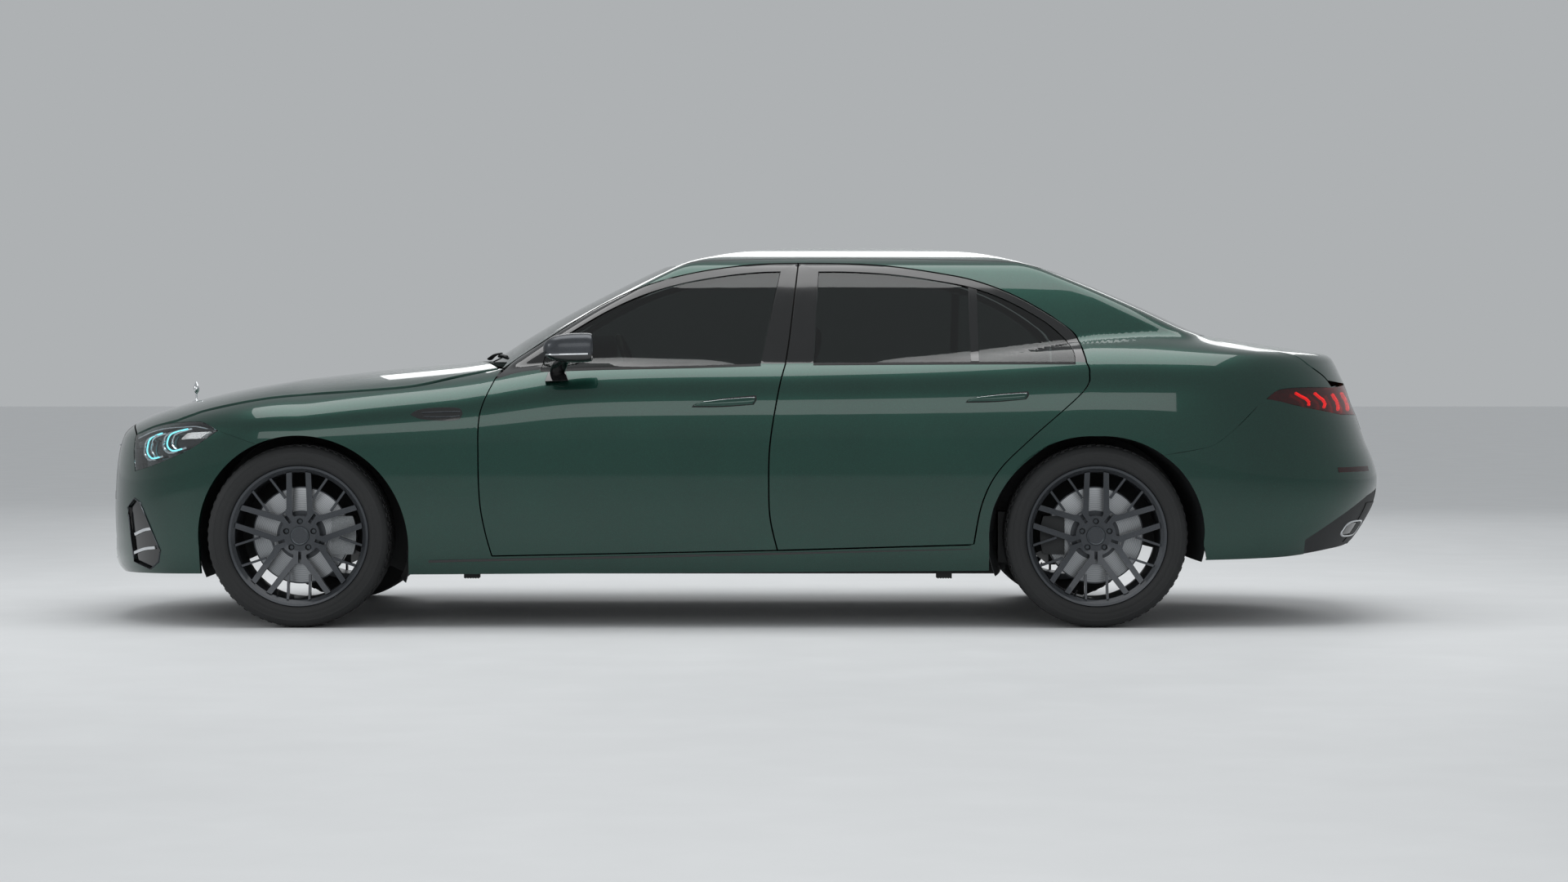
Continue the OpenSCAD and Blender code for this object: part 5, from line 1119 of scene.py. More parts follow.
LAMP_N = 10
low_lamp = turn_of(curve(LAMP_LOW, LAMP_N))
cut_low = front_arch(FRONT_ARCH_CUT)
line_y = GRILLE_HALF + (BONNET_FRONT_EDGE - GRILLE_HALF) * steps(0, 1, 6)
line_z = top_z(bonnet_front(line_y) - SHUT_GAP, line_y)
bonnet_line = np.stack([nose_turn_y(line_y, line_z), line_z], 1)
arch_foot = turn_of([[-2122, NOSE_LOW + 15]])[0]
arch_grille = turn_of([front_arch(162)])[0]
t_low, t_grille = [grille_turn(NOSE_LOW), NOSE_LOW], [grille_turn(GRILLE_LOW), GRILLE_LOW]
bumper_low = between(
    joined(straight([0, NOSE_LOW], t_low, 6), straight(t_low, arch_foot, LAMP_N + 6)),
    joined(straight([0, GRILLE_LOW], t_grille, 6), straight(t_grille, arch_grille, LAMP_N + 6)),
    straight([0, NOSE_LOW], [0, GRILLE_LOW], 6),
    turn_of(joined(straight([-2122, NOSE_LOW + 15], front_arch(186), 3), front_arch(steps(186, 162, 3)))))
arch_turns = front_arch(steps(162, FRONT_ARCH_CUT, 5))
arch_turns[-1, 1] -= PANEL_GAP
grille_z = steps(GRILLE_LOW, 610, 5)
top_line = joined(straight([grille_turn(610), 610], low_lamp[0], 4), low_lamp,
                  turn_of(straight(LAMP_LOW[3] - [0, PANEL_GAP], cut_low - [0, PANEL_GAP], 2)))
bumper_high = between(straight(t_grille, arch_grille, LAMP_N + 6), top_line,
                      np.stack([grille_turn(grille_z), grille_z], 1), turn_of(arch_turns))
cheek_z = 610 + (bonnet_line[0, 1] - 610) * steps(0, 1, 5)
cheek_top = on_curve(bonnet_line, steps(0, 1, 4))
bumper_cheek = between(straight([grille_turn(610), 610], low_lamp[0], 4), cheek_top,
                       np.stack([grille_turn(cheek_z), cheek_z], 1),
                       straight(low_lamp[0], bonnet_line[-1], 5))
cheek_w = np.repeat(np.clip((steps(0, 5, 5) - 3) / 2, 0, 1)[:, None], bumper_cheek.shape[1], 1)
bumper_cheek = np.dstack([bumper_cheek, cheek_w])
bumper = Form()
for grid, walls in ((bumper_low, scaled_walls(("bottom", 0, 22), ("right", 0, 6), ("top", 0, 6))),
                    (bumper_high, scaled_walls(("right", 0, 5), ("top", 4, 16), ("left", 0, 5))),
                    (bumper_cheek, scaled_walls(("right", 0, 5), ("top", 0, 4), ("left", 0, 5)))):
    bumper.solid(on_end(grid, True), end_inner(grid, PANEL_T, True), walls, 0, inside=2)


def cut_outline(form, outline, y_from, depth, number, along_y=True):
    """Cuts an outline, seen from one side, into a form's outer faces and sinks what lies within."""
    mesh = bpy.data.meshes.new("work")
    mesh.from_pydata(np.concatenate(form.places).tolist(), [], form.faces)
    mesh.polygons.foreach_set("material_index", form.finish)
    bm = bmesh.new()
    bm.from_mesh(mesh)
    bmesh.ops.remove_doubles(bm, verts=bm.verts, dist=0.04)
    bmesh.ops.recalc_face_normals(bm, faces=bm.faces)
    outline = np.asarray(outline, float)
    lo, hi = outline.min(0) - 30, outline.max(0) + 30
    axis = 0 if along_y else 1

    def near(f):
        c = f.calc_center_median()
        reached = c[1] > y_from if along_y else c[0] < y_from
        return reached and lo[0] < c[axis] < hi[0] and lo[1] < c[2] < hi[1]

    for k in range(len(outline)):
        a, b = outline[k], outline[(k + 1) % len(outline)]
        run = b - a
        co = (a[0], 0, a[1]) if along_y else (0, a[0], a[1])
        no = (-run[1], 0, run[0]) if along_y else (0, -run[1], run[0])
        faces = [f for f in bm.faces if near(f)]
        geom = faces + list({e for f in faces for e in f.edges}) + list({v for f in faces for v in f.verts})
        bmesh.ops.bisect_plane(bm, geom=geom, dist=0.02, plane_co=co, plane_no=no)

    def held(c):
        inside = False
        for k in range(len(outline)):
            (x1, z1), (x2, z2) = outline[k], outline[(k + 1) % len(outline)]
            if (z1 > c[2]) != (z2 > c[2]) and c[axis] < (x2 - x1) * (c[2] - z1) / (z2 - z1) + x1:
                inside = not inside
        return inside

    picked = [f for f in bm.faces if near(f) and f.material_index == 0 and held(f.calc_center_median())]
    for f in picked:
        f.material_index = number
    if depth and picked:
        way = sum((f.normal * f.calc_area() for f in picked), start=picked[0].normal * 0).normalized()
        out = bmesh.ops.extrude_face_region(bm, geom=picked)
        verts = [g for g in out["geom"] if isinstance(g, bmesh.types.BMVert)]
        bmesh.ops.translate(bm, verts=verts, vec=way * -depth)
        bmesh.ops.delete(bm, geom=picked, context="FACES")
    bm.verts.index_update()
    made = Form()
    made.add([v.co[:] for v in bm.verts], [tuple(v.index for v in f.verts) for f in bm.faces])
    made.finish = [f.material_index for f in bm.faces]
    bm.free()
    bpy.data.meshes.remove(mesh)
    return made


INTAKE = [[-2446, 455], [-2410, 494], [-2380, 478], [-2338, 395], [-2290, 290], [-2300, 246],
          [-2342, 214], [-2420, 240]]
LOW_INTAKE = [[-10, 240], [-10, 430], [390, 430], [430, 330], [390, 240]]
bumper = cut_outline(bumper, INTAKE, 300, 9.0, 1)
bumper = cut_outline(bumper, LOW_INTAKE, -2400, 9.0, 1, along_y=False)
put("front_bumper_skin", bumper.both(), "body", (lacquer, piano_black, grained), "front_bumper", bevel=1.4)


def ring_faces(rows, sides, closed=False):
    """Faces between rings of places, with a lid on either end unless the last ring meets the first."""
    k = np.arange(rows * sides).reshape(rows, sides)
    faces = [(k[i, j], k[i, (j + 1) % sides], k[(i + 1) % rows, (j + 1) % sides], k[(i + 1) % rows, j])
             for i in range(rows if closed else rows - 1) for j in range(sides)]
    return faces if closed else faces + [tuple(k[0][::-1]), tuple(k[-1])]


def tube(path, radius, sides=10, closed=False, flatten=None):
    """A bar of round or oval section along a path of places."""
    path = np.asarray(path, float)
    n = len(path)
    if closed:
        run = np.roll(path, -1, 0) - np.roll(path, 1, 0)
    else:
        run = path[np.minimum(np.arange(n) + 1, n - 1)] - path[np.maximum(np.arange(n) - 1, 0)]
    run /= np.linalg.norm(run, axis=1)[:, None]
    ref = np.array([0, 0, 1.0]) if abs(run[:, 2]).mean() < 0.8 else np.array([0, 1.0, 0])
    a = np.cross(run, ref)
    a /= np.linalg.norm(a, axis=1)[:, None]
    b = np.cross(run, a)
    r = np.broadcast_to(np.asarray(radius, float), (n,))[:, None, None]
    ra, rb = flatten or (1, 1)
    t = np.linspace(0, 2 * np.pi, sides, endpoint=False)[None, :, None]
    pts = path[:, None] + r * (ra * a[:, None] * np.cos(t) + rb * b[:, None] * np.sin(t))
    return Form().add(pts, ring_faces(n, sides, closed))


def on_nose_xz(pts, raised=0.0):
    t = turn_of(pts)
    return end_in(t[:, 0], t[:, 1], -raised, True)


ring = np.asarray(INTAKE, float)
ring = np.concatenate([straight(ring[k], ring[(k + 1) % len(ring)], 2)[:-1] for k in range(len(ring))])
put_pair("intake_bezel_{}", tube(on_nose_xz(ring, -0.5), 4.5, closed=True, flatten=(1, 0.6)), "body",
         (dark_chrome,))
vanes = Form()
for k, z in enumerate((300, 375)):
    line = np.array([[-2425 + 8 * k, z - 20], [-2370, z], [-2318 - 14 * k, z + 8]], float)
    grid = band(curve(line, 6), -12, 1)
    t = turn_of(grid.reshape(-1, 2)).reshape(grid.shape)
    vanes.solid(end_in(t[..., 0], t[..., 1], 1.0, True), end_in(t[..., 0], t[..., 1], 8.5, True))
put_pair("intake_vanes_{}", vanes, "body", (chrome,), bevel=1)

# Grille: a plated frame, a black mesh wall and bright slats that repeat up the opening

frame_half = GRILLE_HALF - 2 * PANEL_GAP
gy = np.linspace(-frame_half, frame_half, 24 * FINE + 1)
g_top_x = bonnet_front(gy) - SHUT_GAP
g_top = top_z(g_top_x, gy)
gv = np.linspace(0, 1, 10 * FINE + 1)
g_z = (GRILLE_LOW + PANEL_GAP) + (g_top[None] - GRILLE_LOW - PANEL_GAP) * gv[:, None]
g_t = np.sign(gy)[None] * nose_turn_y(np.abs(gy)[None], g_z)
g_w = np.clip((gv[:, None] - 0.8) / 0.2, 0, 1) * np.ones_like(g_z)
g_all = np.dstack([g_t, g_z, g_w])
e = 2 * FINE // 2
grille = Form()
for part in (g_all[:e + 1], g_all[-e - 3:], g_all[e:-e - 2, :e + 1], g_all[e:-e - 2, -e - 1:]):
    grille.solid(on_end(part, True), end_inner(part, 30.0, True))
put("grille_frame", grille, "body", (dark_chrome,), "grille", bevel=2.5)
mid = g_all[e - 1:-e - 2, e - 1:-e].copy()
mid[..., 2] = 0
put("grille_mesh", Form().solid(end_inner(mid, 26.0, True), end_inner(mid, 29.0, True)), "body", (grained,))


def copies_tree(name, vector, lay_out):
    """A tree that copies the given shape onto places and names the copies' finish."""
    tree = bpy.data.node_groups.new(name, "GeometryNodeTree")
    face = tree.interface
    for socket, kind in (("Geometry", "Geometry"), ("Count", "Int"), (vector, "Vector"),
                         ("Finish", "Material")):
        face.new_socket(socket, in_out="INPUT", socket_type="NodeSocket" + kind)
    face.new_socket("Geometry", in_out="OUTPUT", socket_type="NodeSocketGeometry")
    given = node(tree, "NodeGroupInput")
    copies = node(tree, "GeometryNodeInstanceOnPoints", lay_out(tree, given.outputs))
    real = node(tree, "GeometryNodeRealizeInstances", {0: copies.outputs[0]})
    named = node(tree, "GeometryNodeSetMaterial", {0: real.outputs[0], "Material": given.outputs["Finish"]})
    node(tree, "NodeGroupOutput", {0: named.outputs[0]})
    return tree


def in_a_row(tree, given):
    """Places along a step, for the shape as it is."""
    line = node(tree, "GeometryNodeMeshLine", {"Count": given["Count"], "Offset": given["Step"]})
    return {"Points": line.outputs[0], "Instance": given[0]}


def in_a_ring(tree, given):
    """Turns about an axis parallel to Y, for the shape moved to the axis."""
    back = node(tree, "ShaderNodeVectorMath", {0: given["Centre"]}, {3: -1.0}, operation="SCALE")
    at_zero = node(tree, "GeometryNodeTransform", {0: given[0], "Translation": back.outputs[0]})
    points = node(tree, "GeometryNodePoints", {"Count": given["Count"], "Position": given["Centre"]})
    index = node(tree, "GeometryNodeInputIndex")
    share = node(tree, "ShaderNodeMath", {0: index.outputs[0], 1: given["Count"]}, operation="DIVIDE")
    angle = node(tree, "ShaderNodeMath", {0: share.outputs[0]}, {1: 2 * math.pi}, operation="MULTIPLY")
    turn = node(tree, "ShaderNodeCombineXYZ", {"Y": angle.outputs[0]})
    return {"Points": points.outputs[0], "Instance": at_zero.outputs[0], "Rotation": turn.outputs[0]}


TREES = {"row": copies_tree("repeat_along_a_step", "Step", in_a_row),
         "ring": copies_tree("repeat_around_an_axle", "Centre", in_a_ring)}


def repeated(name, form, body, material, kind, count, vector, nodes=(), sharp=38):
    """A shape repeated by one of the two trees and turned into a plain mesh."""
    mesh = bpy.data.meshes.new(name + "_unit")
    mesh.from_pydata((np.concatenate(form.places) / 1000).tolist(), [], form.faces)
    bm = bmesh.new()
    bm.from_mesh(mesh)
    bmesh.ops.remove_doubles(bm, verts=bm.verts, dist=WELD)
    bmesh.ops.recalc_face_normals(bm, faces=bm.faces)
    bm.to_mesh(mesh)
    bm.free()
    unit = bpy.data.objects.new(name + "_unit", mesh)
    bpy.context.collection.objects.link(unit)
    modifier = unit.modifiers.new("repeat", "NODES")
    modifier.node_group = TREES[kind]
    sockets = {s.name: s.identifier for s in TREES[kind].interface.items_tree if s.in_out == "INPUT"}
    modifier[sockets["Count"]] = count
    modifier[sockets["Step" if kind == "row" else "Centre"]] = [v / 1000 for v in vector]
    modifier[sockets["Finish"]] = material
    unit.update_tag()
    bpy.context.view_layer.update()
    done = bpy.data.meshes.new_from_object(unit.evaluated_get(bpy.context.evaluated_depsgraph_get()))
    done.name = name
    unit.modifiers.remove(modifier)
    bpy.data.objects.remove(unit)
    done.shade_smooth()
    done.set_sharp_from_angle(angle=math.radians(sharp))
    obj = bpy.data.objects.new(name, done)
    bpy.context.collection.objects.link(obj)
    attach(obj, body)
    if nodes:
        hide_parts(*nodes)
    return obj


SLAT_Z, SLAT_STEP, SLAT_COUNT, SLAT_END, SLAT_DEPTH = 508.0, (2.6, 0, 38), 6, 36, 13.0
LOW_SLAT_Z, LOW_SLAT_STEP, LOW_SLAT_COUNT, LOW_SLAT_HALF_W, LOW_SLAT_DEPTH = 275.0, (0, 0, 38), 4, 372, 7.5
slat_y = np.linspace(-frame_half + SLAT_END, frame_half - SLAT_END, 20 * FINE + 1)
slat_turn = np.sign(slat_y) * nose_turn_y(np.abs(slat_y), SLAT_Z)
slat_path = end_in(slat_turn, np.full(len(slat_y), SLAT_Z), SLAT_DEPTH, True)
repeated("grille_slats", tube(slat_path, 5.5, 10, flatten=(2.0, 0.75)), "body", chrome, "row",
         SLAT_COUNT, SLAT_STEP)
low_y = np.linspace(-LOW_SLAT_HALF_W, LOW_SLAT_HALF_W, 16 * FINE + 1)
low_turn = np.sign(low_y) * nose_turn_y(np.abs(low_y), LOW_SLAT_Z)
low_path = end_in(low_turn, np.full(len(low_y), LOW_SLAT_Z), LOW_SLAT_DEPTH, True)
repeated("low_intake_slats", tube(low_path, 4.0, 8, flatten=(1.2, 0.9)), "body", dark_chrome, "row",
         LOW_SLAT_COUNT, LOW_SLAT_STEP)

# Headlamps: clear cover over a black housing with two bright chevrons each


def lamp_grid():
    low_line = beside(coarse(LAMP_LOW, LAMP_N), PANEL_GAP)
    high_line = beside(coarse(LAMP_TOP, LAMP_N), -PANEL_GAP)
    low, high = turn_of(low_line), turn_of(high_line)
    low[0] += [0.4, 2]
    high[0] = bonnet_line[-1] + [0.4, 0]
    low[-1] = turn_of([low_line[-1] - [8, 4]])[0]
    high[-1] = turn_of([high_line[-1] - [8, -2]])[0]
    return between(fine(low), fine(high), straight(low[0], high[0], 5), straight(low[-1], high[-1], 5))


lamp = lamp_grid()
lamp_w = (np.clip((steps(0, 5, 5) - 3) / 2, 0, 1)[:, None]
          * np.clip((7 - steps(0, LAMP_N, LAMP_N)) / 2, 0, 1)[None])
lamp = np.dstack([lamp, lamp_w])
cover = Form().solid(on_end(lamp, True), end_inner(lamp, 3.0, True))
put("headlamp_covers", cover.both(), "body", (lamp_cover,), "headlamps")
housing = Form().solid(end_inner(lamp, 34.0, True), end_inner(lamp, 58.0, True))
put("headlamp_housings", housing.both(), "body", (piano_black,))


def lamp_path(pts, depth):
    """Places below the lamp's cover, from shares along and up it."""
    nv, nu = lamp.shape[0] - 1, lamp.shape[1] - 1
    out = []
    for u, v in pts:
        i, j = min(int(u * nu), nu - 1), min(int(v * nv), nv - 1)
        fu, fv = u * nu - i, v * nv - j
        out.append(lamp[j, i] * (1 - fu) * (1 - fv) + lamp[j, i + 1] * fu * (1 - fv)
                   + lamp[j + 1, i] * (1 - fu) * fv + lamp[j + 1, i + 1] * fu * fv)
    g = np.array(out)
    return end_inner(g, depth, True)


chevrons, glows = Form(), Form()
for u in (0.14, 0.38):
    shape = np.array([[u + 0.16, 0.80], [u + 0.03, 0.72], [u, 0.42], [u + 0.06, 0.20], [u + 0.15, 0.16]])
    smooth_shape = curve(shape, 6)
    for form, off, depth, size in ((chevrons, 0.0, 16.0, 6.0), (glows, 0.045, 12.0, 3.2),
                                   (chevrons, 0.085, 20.0, 5.0)):
        form.take(tube(lamp_path(smooth_shape + [off, 0], depth), size, 8))
brow = lamp_path(curve(np.array([[0.05, 0.93], [0.35, 0.93], [0.62, 0.86], [0.85, 0.70]]), 8), 10.0)
chevrons.take(tube(brow, 2.6, 8))
put("headlamp_bezels", chevrons.both(), "body", (chrome,))
put("headlamp_guides", glows.both(), "body", (cyan_guide,))

# Tail: lamps, bumper, diffuser, exhaust trims and blank plate

tail_low_t = np.concatenate([[[float(tail_turn_y(430, 820)), 820]],
                             on_tail(beside(coarse(TAIL_LAMP_LOW, 8), PANEL_GAP / 2)[::-1])])
tail_top_t = np.concatenate([[[float(tail_turn_y(430, 940)), 940]],
                             on_tail(beside(coarse(TAIL_LAMP_TOP, 8), -PANEL_GAP)[::-1])])


def lamp_edge(t):
    t = np.concatenate([coarse(t[:2], 4), t[2:]])
    t[12] = t[11] * 0.2 + t[12] * 0.8
    return t


tl, tt = lamp_edge(tail_low_t), lamp_edge(tail_top_t)
tail_lamp = between(fine(tl), fine(tt), straight(tl[0], tt[0], 3), straight(tl[-1], tt[-1], 3))
put("tail_lamp_lenses", Form().solid(on_end(tail_lamp, False), end_inner(tail_lamp, 3.0, False)).both(),
    "body", (red_lens,), "tail_lamps")
put("tail_lamp_housings",
    Form().solid(end_inner(tail_lamp, 26.0, False), end_inner(tail_lamp, 43.0, False)).both(),
    "body", (dark_chrome,))
elements = Form()
for u in (0.12, 0.30, 0.48, 0.66):
    nv, nu = tail_lamp.shape[0] - 1, tail_lamp.shape[1] - 1
    i = int(u * nu)
    rows_v = np.linspace(int(nv * 0.2), int(nv * 0.8), 7).astype(int)
    cols = (i + np.abs(np.linspace(-1, 1, 7)) * 0.05 * nu).astype(int)
    elements.take(tube(end_inner(tail_lamp[rows_v, cols], 9.0, False), 6.5, 8))
put("tail_lamp_guides", elements.both(), "body", (red_guide,))

BUMPER_LOW_Z, REAR_GAP_Z = 300.0, 755.0


def tail_turn_at(y, z):
    return tail_turn_y(np.asarray(y, float), np.asarray(z, float))


mid_z = steps(BUMPER_LOW_Z, REAR_GAP_Z, 7)
mid_y = steps(0, 430, 6)
rear_middle = np.dstack([tail_turn_at(mid_y[None], mid_z[:, None]),
                         mid_z[:, None] * np.ones(len(mid_y))[None]])
rear_top_line = beside(np.concatenate([coarse(TAIL_LAMP_LOW, 4)[::-1], coarse(TAIL_CUT, 5)[::-1][1:]]),
                       PANEL_GAP)
lamp_z = 820 - PANEL_GAP
low_end, top_end = on_tail(TAIL_LOW[3:4])[0], on_tail(rear_top_line[:1])[0]
start_low = [float(tail_turn_at(430, BUMPER_LOW_Z)), BUMPER_LOW_Z]
start_top = [float(tail_turn_at(430, lamp_z)), lamp_z]
arch_side = np.concatenate([on_tail(TAIL_LOW[:1]), on_tail(rear_arch(-13 + 62 * np.arange(1, 8) / 8)),
                            on_tail(rear_top_line[-1:])])
inner_side = joined(rear_middle[:, -1], straight(rear_middle[-1, -1], start_top, 1))
rear_side = between(joined(straight(start_low, low_end, 3), on_tail(coarse(TAIL_LOW, 9 * FINE)[::-1])),
                    joined(straight(start_top, top_end, 3), fine(on_tail(rear_top_line))), inner_side,
                    fine(arch_side))
rear = Form()
rear.solid(on_end(rear_middle, False), end_inner(rear_middle, PANEL_T, False),
           scaled_walls(("bottom", 0, 6), ("top", 0, 6)), 0, inside=2)
rear.solid(on_end(rear_side, False), end_inner(rear_side, PANEL_T, False),
           scaled_walls(("bottom", 0, 12), ("right", 0, 8), ("top", 0, 12), ("left", 7, 8)), 0, inside=2)
DIFFUSER = [[2212, 250], [2212, 334], [2490, 500], [2600, 540], [2600, 250]]
rear = cut_outline(rear, DIFFUSER, 420, 2.5, 1)
put("rear_bumper_skin", rear.both(), "body", (lacquer, grained, ecoat), "rear_bumper", bevel=1.4)


def tail_patch(y0, y1, z0, z1, raised, sunk, ny=8, nz=3):
    """A thin plate on the tail's surface between two widths and two heights."""
    z = steps(z0, z1, nz)[:, None] * np.ones(ny * FINE + 1)[None]
    y = steps(y0, y1, ny)[None] * np.ones(nz * FINE + 1)[:, None]
    t = np.sign(y) * tail_turn_y(np.abs(y), z)
    return Form().solid(end_in(t, z, -raised, False), end_in(t, z, -sunk, False))


# Boxes of the plates on the tail: from and to across the car, from and to in height
DIFFUSER_BOX, REFLECTOR_BOX = (-560, 560, 312, 470), (560, 760, 598, 618)
PLATE_BOX, HANDLE_BOX = (-260, 260, 790, 900), (-300, 300, 912, 922)
put("diffuser_panel", tail_patch(*DIFFUSER_BOX, 1.2, -10, 20, 4), "body", (grained,), bevel=1)
put("reflectors_rear", tail_patch(*REFLECTOR_BOX, 1.0, -6, 6, 1).both(), "body", (red_lens,), bevel=0.6)
put("plate_rear", tail_patch(*PLATE_BOX, 2.5, -1, 8, 3), "boot_lid", (plate_white,), bevel=1.0)
put("boot_handle_strip", tail_patch(*HANDLE_BOX, 2.0, -1, 8, 1), "boot_lid", (chrome,), bevel=1.0)
EXHAUST_Z, EXHAUST_Y, EXHAUST_HALF_W, EXHAUST_HALF_H, EXHAUST_ROUND = 370.0, 560.0, 88, 30, 0.6
MOUTH_HALF_W, MOUTH_HALF_H = 78, 22
outline = np.linspace(0, 2 * np.pi, 48, endpoint=False)
oval_y = EXHAUST_Y + EXHAUST_HALF_W * np.sign(np.cos(outline)) * np.abs(np.cos(outline)) ** EXHAUST_ROUND
oval_z = EXHAUST_Z + EXHAUST_HALF_H * np.sign(np.sin(outline)) * np.abs(np.sin(outline)) ** EXHAUST_ROUND
oval_t = tail_turn_y(oval_y, oval_z)
put("exhaust_trims",
    tube(end_in(oval_t, oval_z, 4.0, False), 6.5, 10, closed=True, flatten=(1, 0.8)).both(), "body",
    (chrome,))
tip = tail_patch(EXHAUST_Y - MOUTH_HALF_W, EXHAUST_Y + MOUTH_HALF_W, EXHAUST_Z - MOUTH_HALF_H,
                 EXHAUST_Z + MOUTH_HALF_H, -0.2, -8, 4, 2)
put("exhaust_mouths", tip.both(), "body", (piano_black,), bevel=0.8)


def dot(x, z, front):
    """A parking sensor's face: a shallow round cap on the side of nose or tail."""
    a = np.linspace(0, 2 * np.pi, 24, endpoint=False)
    r = np.array([0.01, 6.0, 9.0, 9.6])
    grid = np.stack([x + r[:, None] * np.cos(a)[None], z + r[:, None] * np.sin(a)[None]], -1)
    shape = grid.shape
    t = (on_nose if front else on_tail)(grid.reshape(-1, 2)).reshape(shape)
    lift = np.array([-0.2, -0.2, -0.3, -2.0])[:, None] * np.ones(24)[None]
    pts = end_in(t[..., 0], t[..., 1], -lift, front)
    return Form().add(pts, ring_faces(4, 24))


FRONT_SENSOR, REAR_SENSOR = (-2190, 468), (2045, 561)
put("sensors_front", dot(*FRONT_SENSOR, True).both(), "body", (dark_chrome,))
put("sensors_rear", dot(*REAR_SENSOR, False).both(), "body", (dark_chrome,))

# Ornament on the bonnet: a plain turned finial on a round foot


def turned_form(profile, centre, n=40):
    """A shape turned about an upright axis, from its radius and height pairs."""
    profile = np.asarray(profile, float)
    a = np.linspace(0, 2 * np.pi, n, endpoint=False)
    pts = np.stack([centre[0] + profile[:, :1] * np.cos(a), centre[1] + profile[:, :1] * np.sin(a),
                    centre[2] + profile[:, 1:] * np.ones(n)], -1)
    return Form().add(pts, ring_faces(len(profile), n))


FINIAL = [[17, 0], [17, 4], [14, 7], [7, 10], [4, 16], [3.6, 34], [5, 40], [10, 47], [12.5, 56],
          [11.5, 66], [7, 77], [2.5, 85], [0.4, 88]]
FINIAL_X, FINIAL_SEAT = -2280.0, 1
finial_z = float(top_z(FINIAL_X, 0.0)) - FINIAL_SEAT
put("bonnet_finial", turned_form(curve(FINIAL, 16)[:, :2], (FINIAL_X, 0, finial_z)), "bonnet", (chrome,))

# Mirrors: shell, bright strip, glass and foot

MIRROR_SIDES, MIRROR_MID_X, MIRROR_MID_Y, MIRROR_MID_Z = 56, -680, 996, 1088
MIRROR_HALF_W, MIRROR_HALF_H, MIRROR_RISE = 63, 57, 0.02
MIRROR_SPLIT_Z, MIRROR_OUT_Y = 1064, 1058.5
MIRROR_X = [[-769, 0.16], [-762, 0.42], [-745, 0.68], [-715, 0.88], [-680, 0.97], [-640, 1.0],
            [-600, 0.99], [-582, 0.94]]


def mirror_section(x, k):
    """One ring of the mirror's shell at a place along the car."""
    a = np.linspace(0, 2 * np.pi, MIRROR_SIDES, endpoint=False)
    c, s = np.cos(a), np.sin(a)
    y = MIRROR_MID_Y + MIRROR_HALF_W * k * np.sign(c) * np.abs(c) ** 0.75
    z = MIRROR_MID_Z + (x - MIRROR_MID_X) * MIRROR_RISE + MIRROR_HALF_H * k * np.sign(s) * np.abs(s) ** 0.8
    return np.stack([np.full(MIRROR_SIDES, x), y, z], -1)


ks = on_curve(MIRROR_X, np.linspace(0, 1, 57))
rings = np.stack([mirror_section(x, k) for x, k in ks])
back_ring = np.stack([mirror_section(-582, 0.94 * s) + [d, 0, 0]
                      for s, d in ((0.97, 2.0), (0.92, 1.0), (0.9, -6.0))])
shell_pts = np.concatenate([rings, back_ring])
shell = Form().add(shell_pts, ring_faces(len(shell_pts), MIRROR_SIDES))
for i, face in enumerate(shell.faces):
    heights = shell_pts.reshape(-1, 3)[list(face)][:, 2].mean()
    shell.finish[i] = 0 if heights > MIRROR_SPLIT_Z else 1
put_pair("mirror_shell_{}", shell, "door_front_{}", (graphite, piano_black), "mirror_{}")
pane = mirror_section(-585, 0.83)
pane_in = mirror_section(-586.5, 0.80)
glass_face = Form().add(np.concatenate([pane, pane_in + [3.2, 0, 0]]), ring_faces(2, MIRROR_SIDES))
put_pair("mirror_pane_{}", glass_face, "door_front_{}", (mirror_glass,))
strip_line = np.array([[x, 0, MIRROR_SPLIT_Z + (x - MIRROR_MID_X) * MIRROR_RISE] for x, _ in ks[10:-6]])
below = (MIRROR_MID_Z - MIRROR_SPLIT_Z) / MIRROR_HALF_H
strip_line[:, 1] = [MIRROR_MID_Y + MIRROR_HALF_W * kk * (1 - (below / kk) ** 2.5) ** 0.4
                    for _, kk in ks[10:-6]]
strip_line[:, 1] = np.minimum(strip_line[:, 1] + 0.6, MIRROR_OUT_Y)
put_pair("mirror_strip_{}", tube(strip_line, 2.2, 8, flatten=(0.6, 1.6)), "door_front_{}", (chrome,))
foot = between(straight([-768, 958], [-676, 962], 3), straight([-756, 998], [-690, 1000], 3),
               straight([-768, 958], [-756, 998], 3), straight([-676, 962], [-690, 1000], 3))
foot_form = Form().solid(on_side(foot, 20.0), on_side(foot, 0.4))
arm = np.array([[-722, 905, 982], [-718, 925, 1000], [-708, 950, 1022], [-690, 972, 1044]], float)
foot_form.take(tube(curve(arm, 6), np.linspace(17, 24, 6 * FINE + 1), 20, flatten=(1.6, 0.55)))
put_pair("mirror_foot_{}", foot_form, "door_front_{}", (piano_black,), bevel=1.5)

# Wheels: tyres with tread, turned discs, bolts and valve

WHEELS = {"front_left": (FRONT_X, -1), "front_right": (FRONT_X, 1), "rear_left": (REAR_X, -1),
          "rear_right": (REAR_X, 1)}
TYRE = [[275.5, -105], [276, -118], [286, -124], [300, -127], [318, -127.2], [331, -125], [343, -119.5],
        [350, -108], [352.3, -96], [352.6, -60], [352.8, 0], [352.6, 60], [352.3, 96], [350, 108],
        [343, 119.5], [331, 125], [328, 126.8], [325, 125.6], [318, 127.2], [304, 127.2], [301, 125.8],
        [298, 127], [286, 124], [278, 118], [275.5, 112], [275.5, 100], [286, 100], [332, 106],
        [338, 90], [338, -90], [332, -106], [286, -100]]


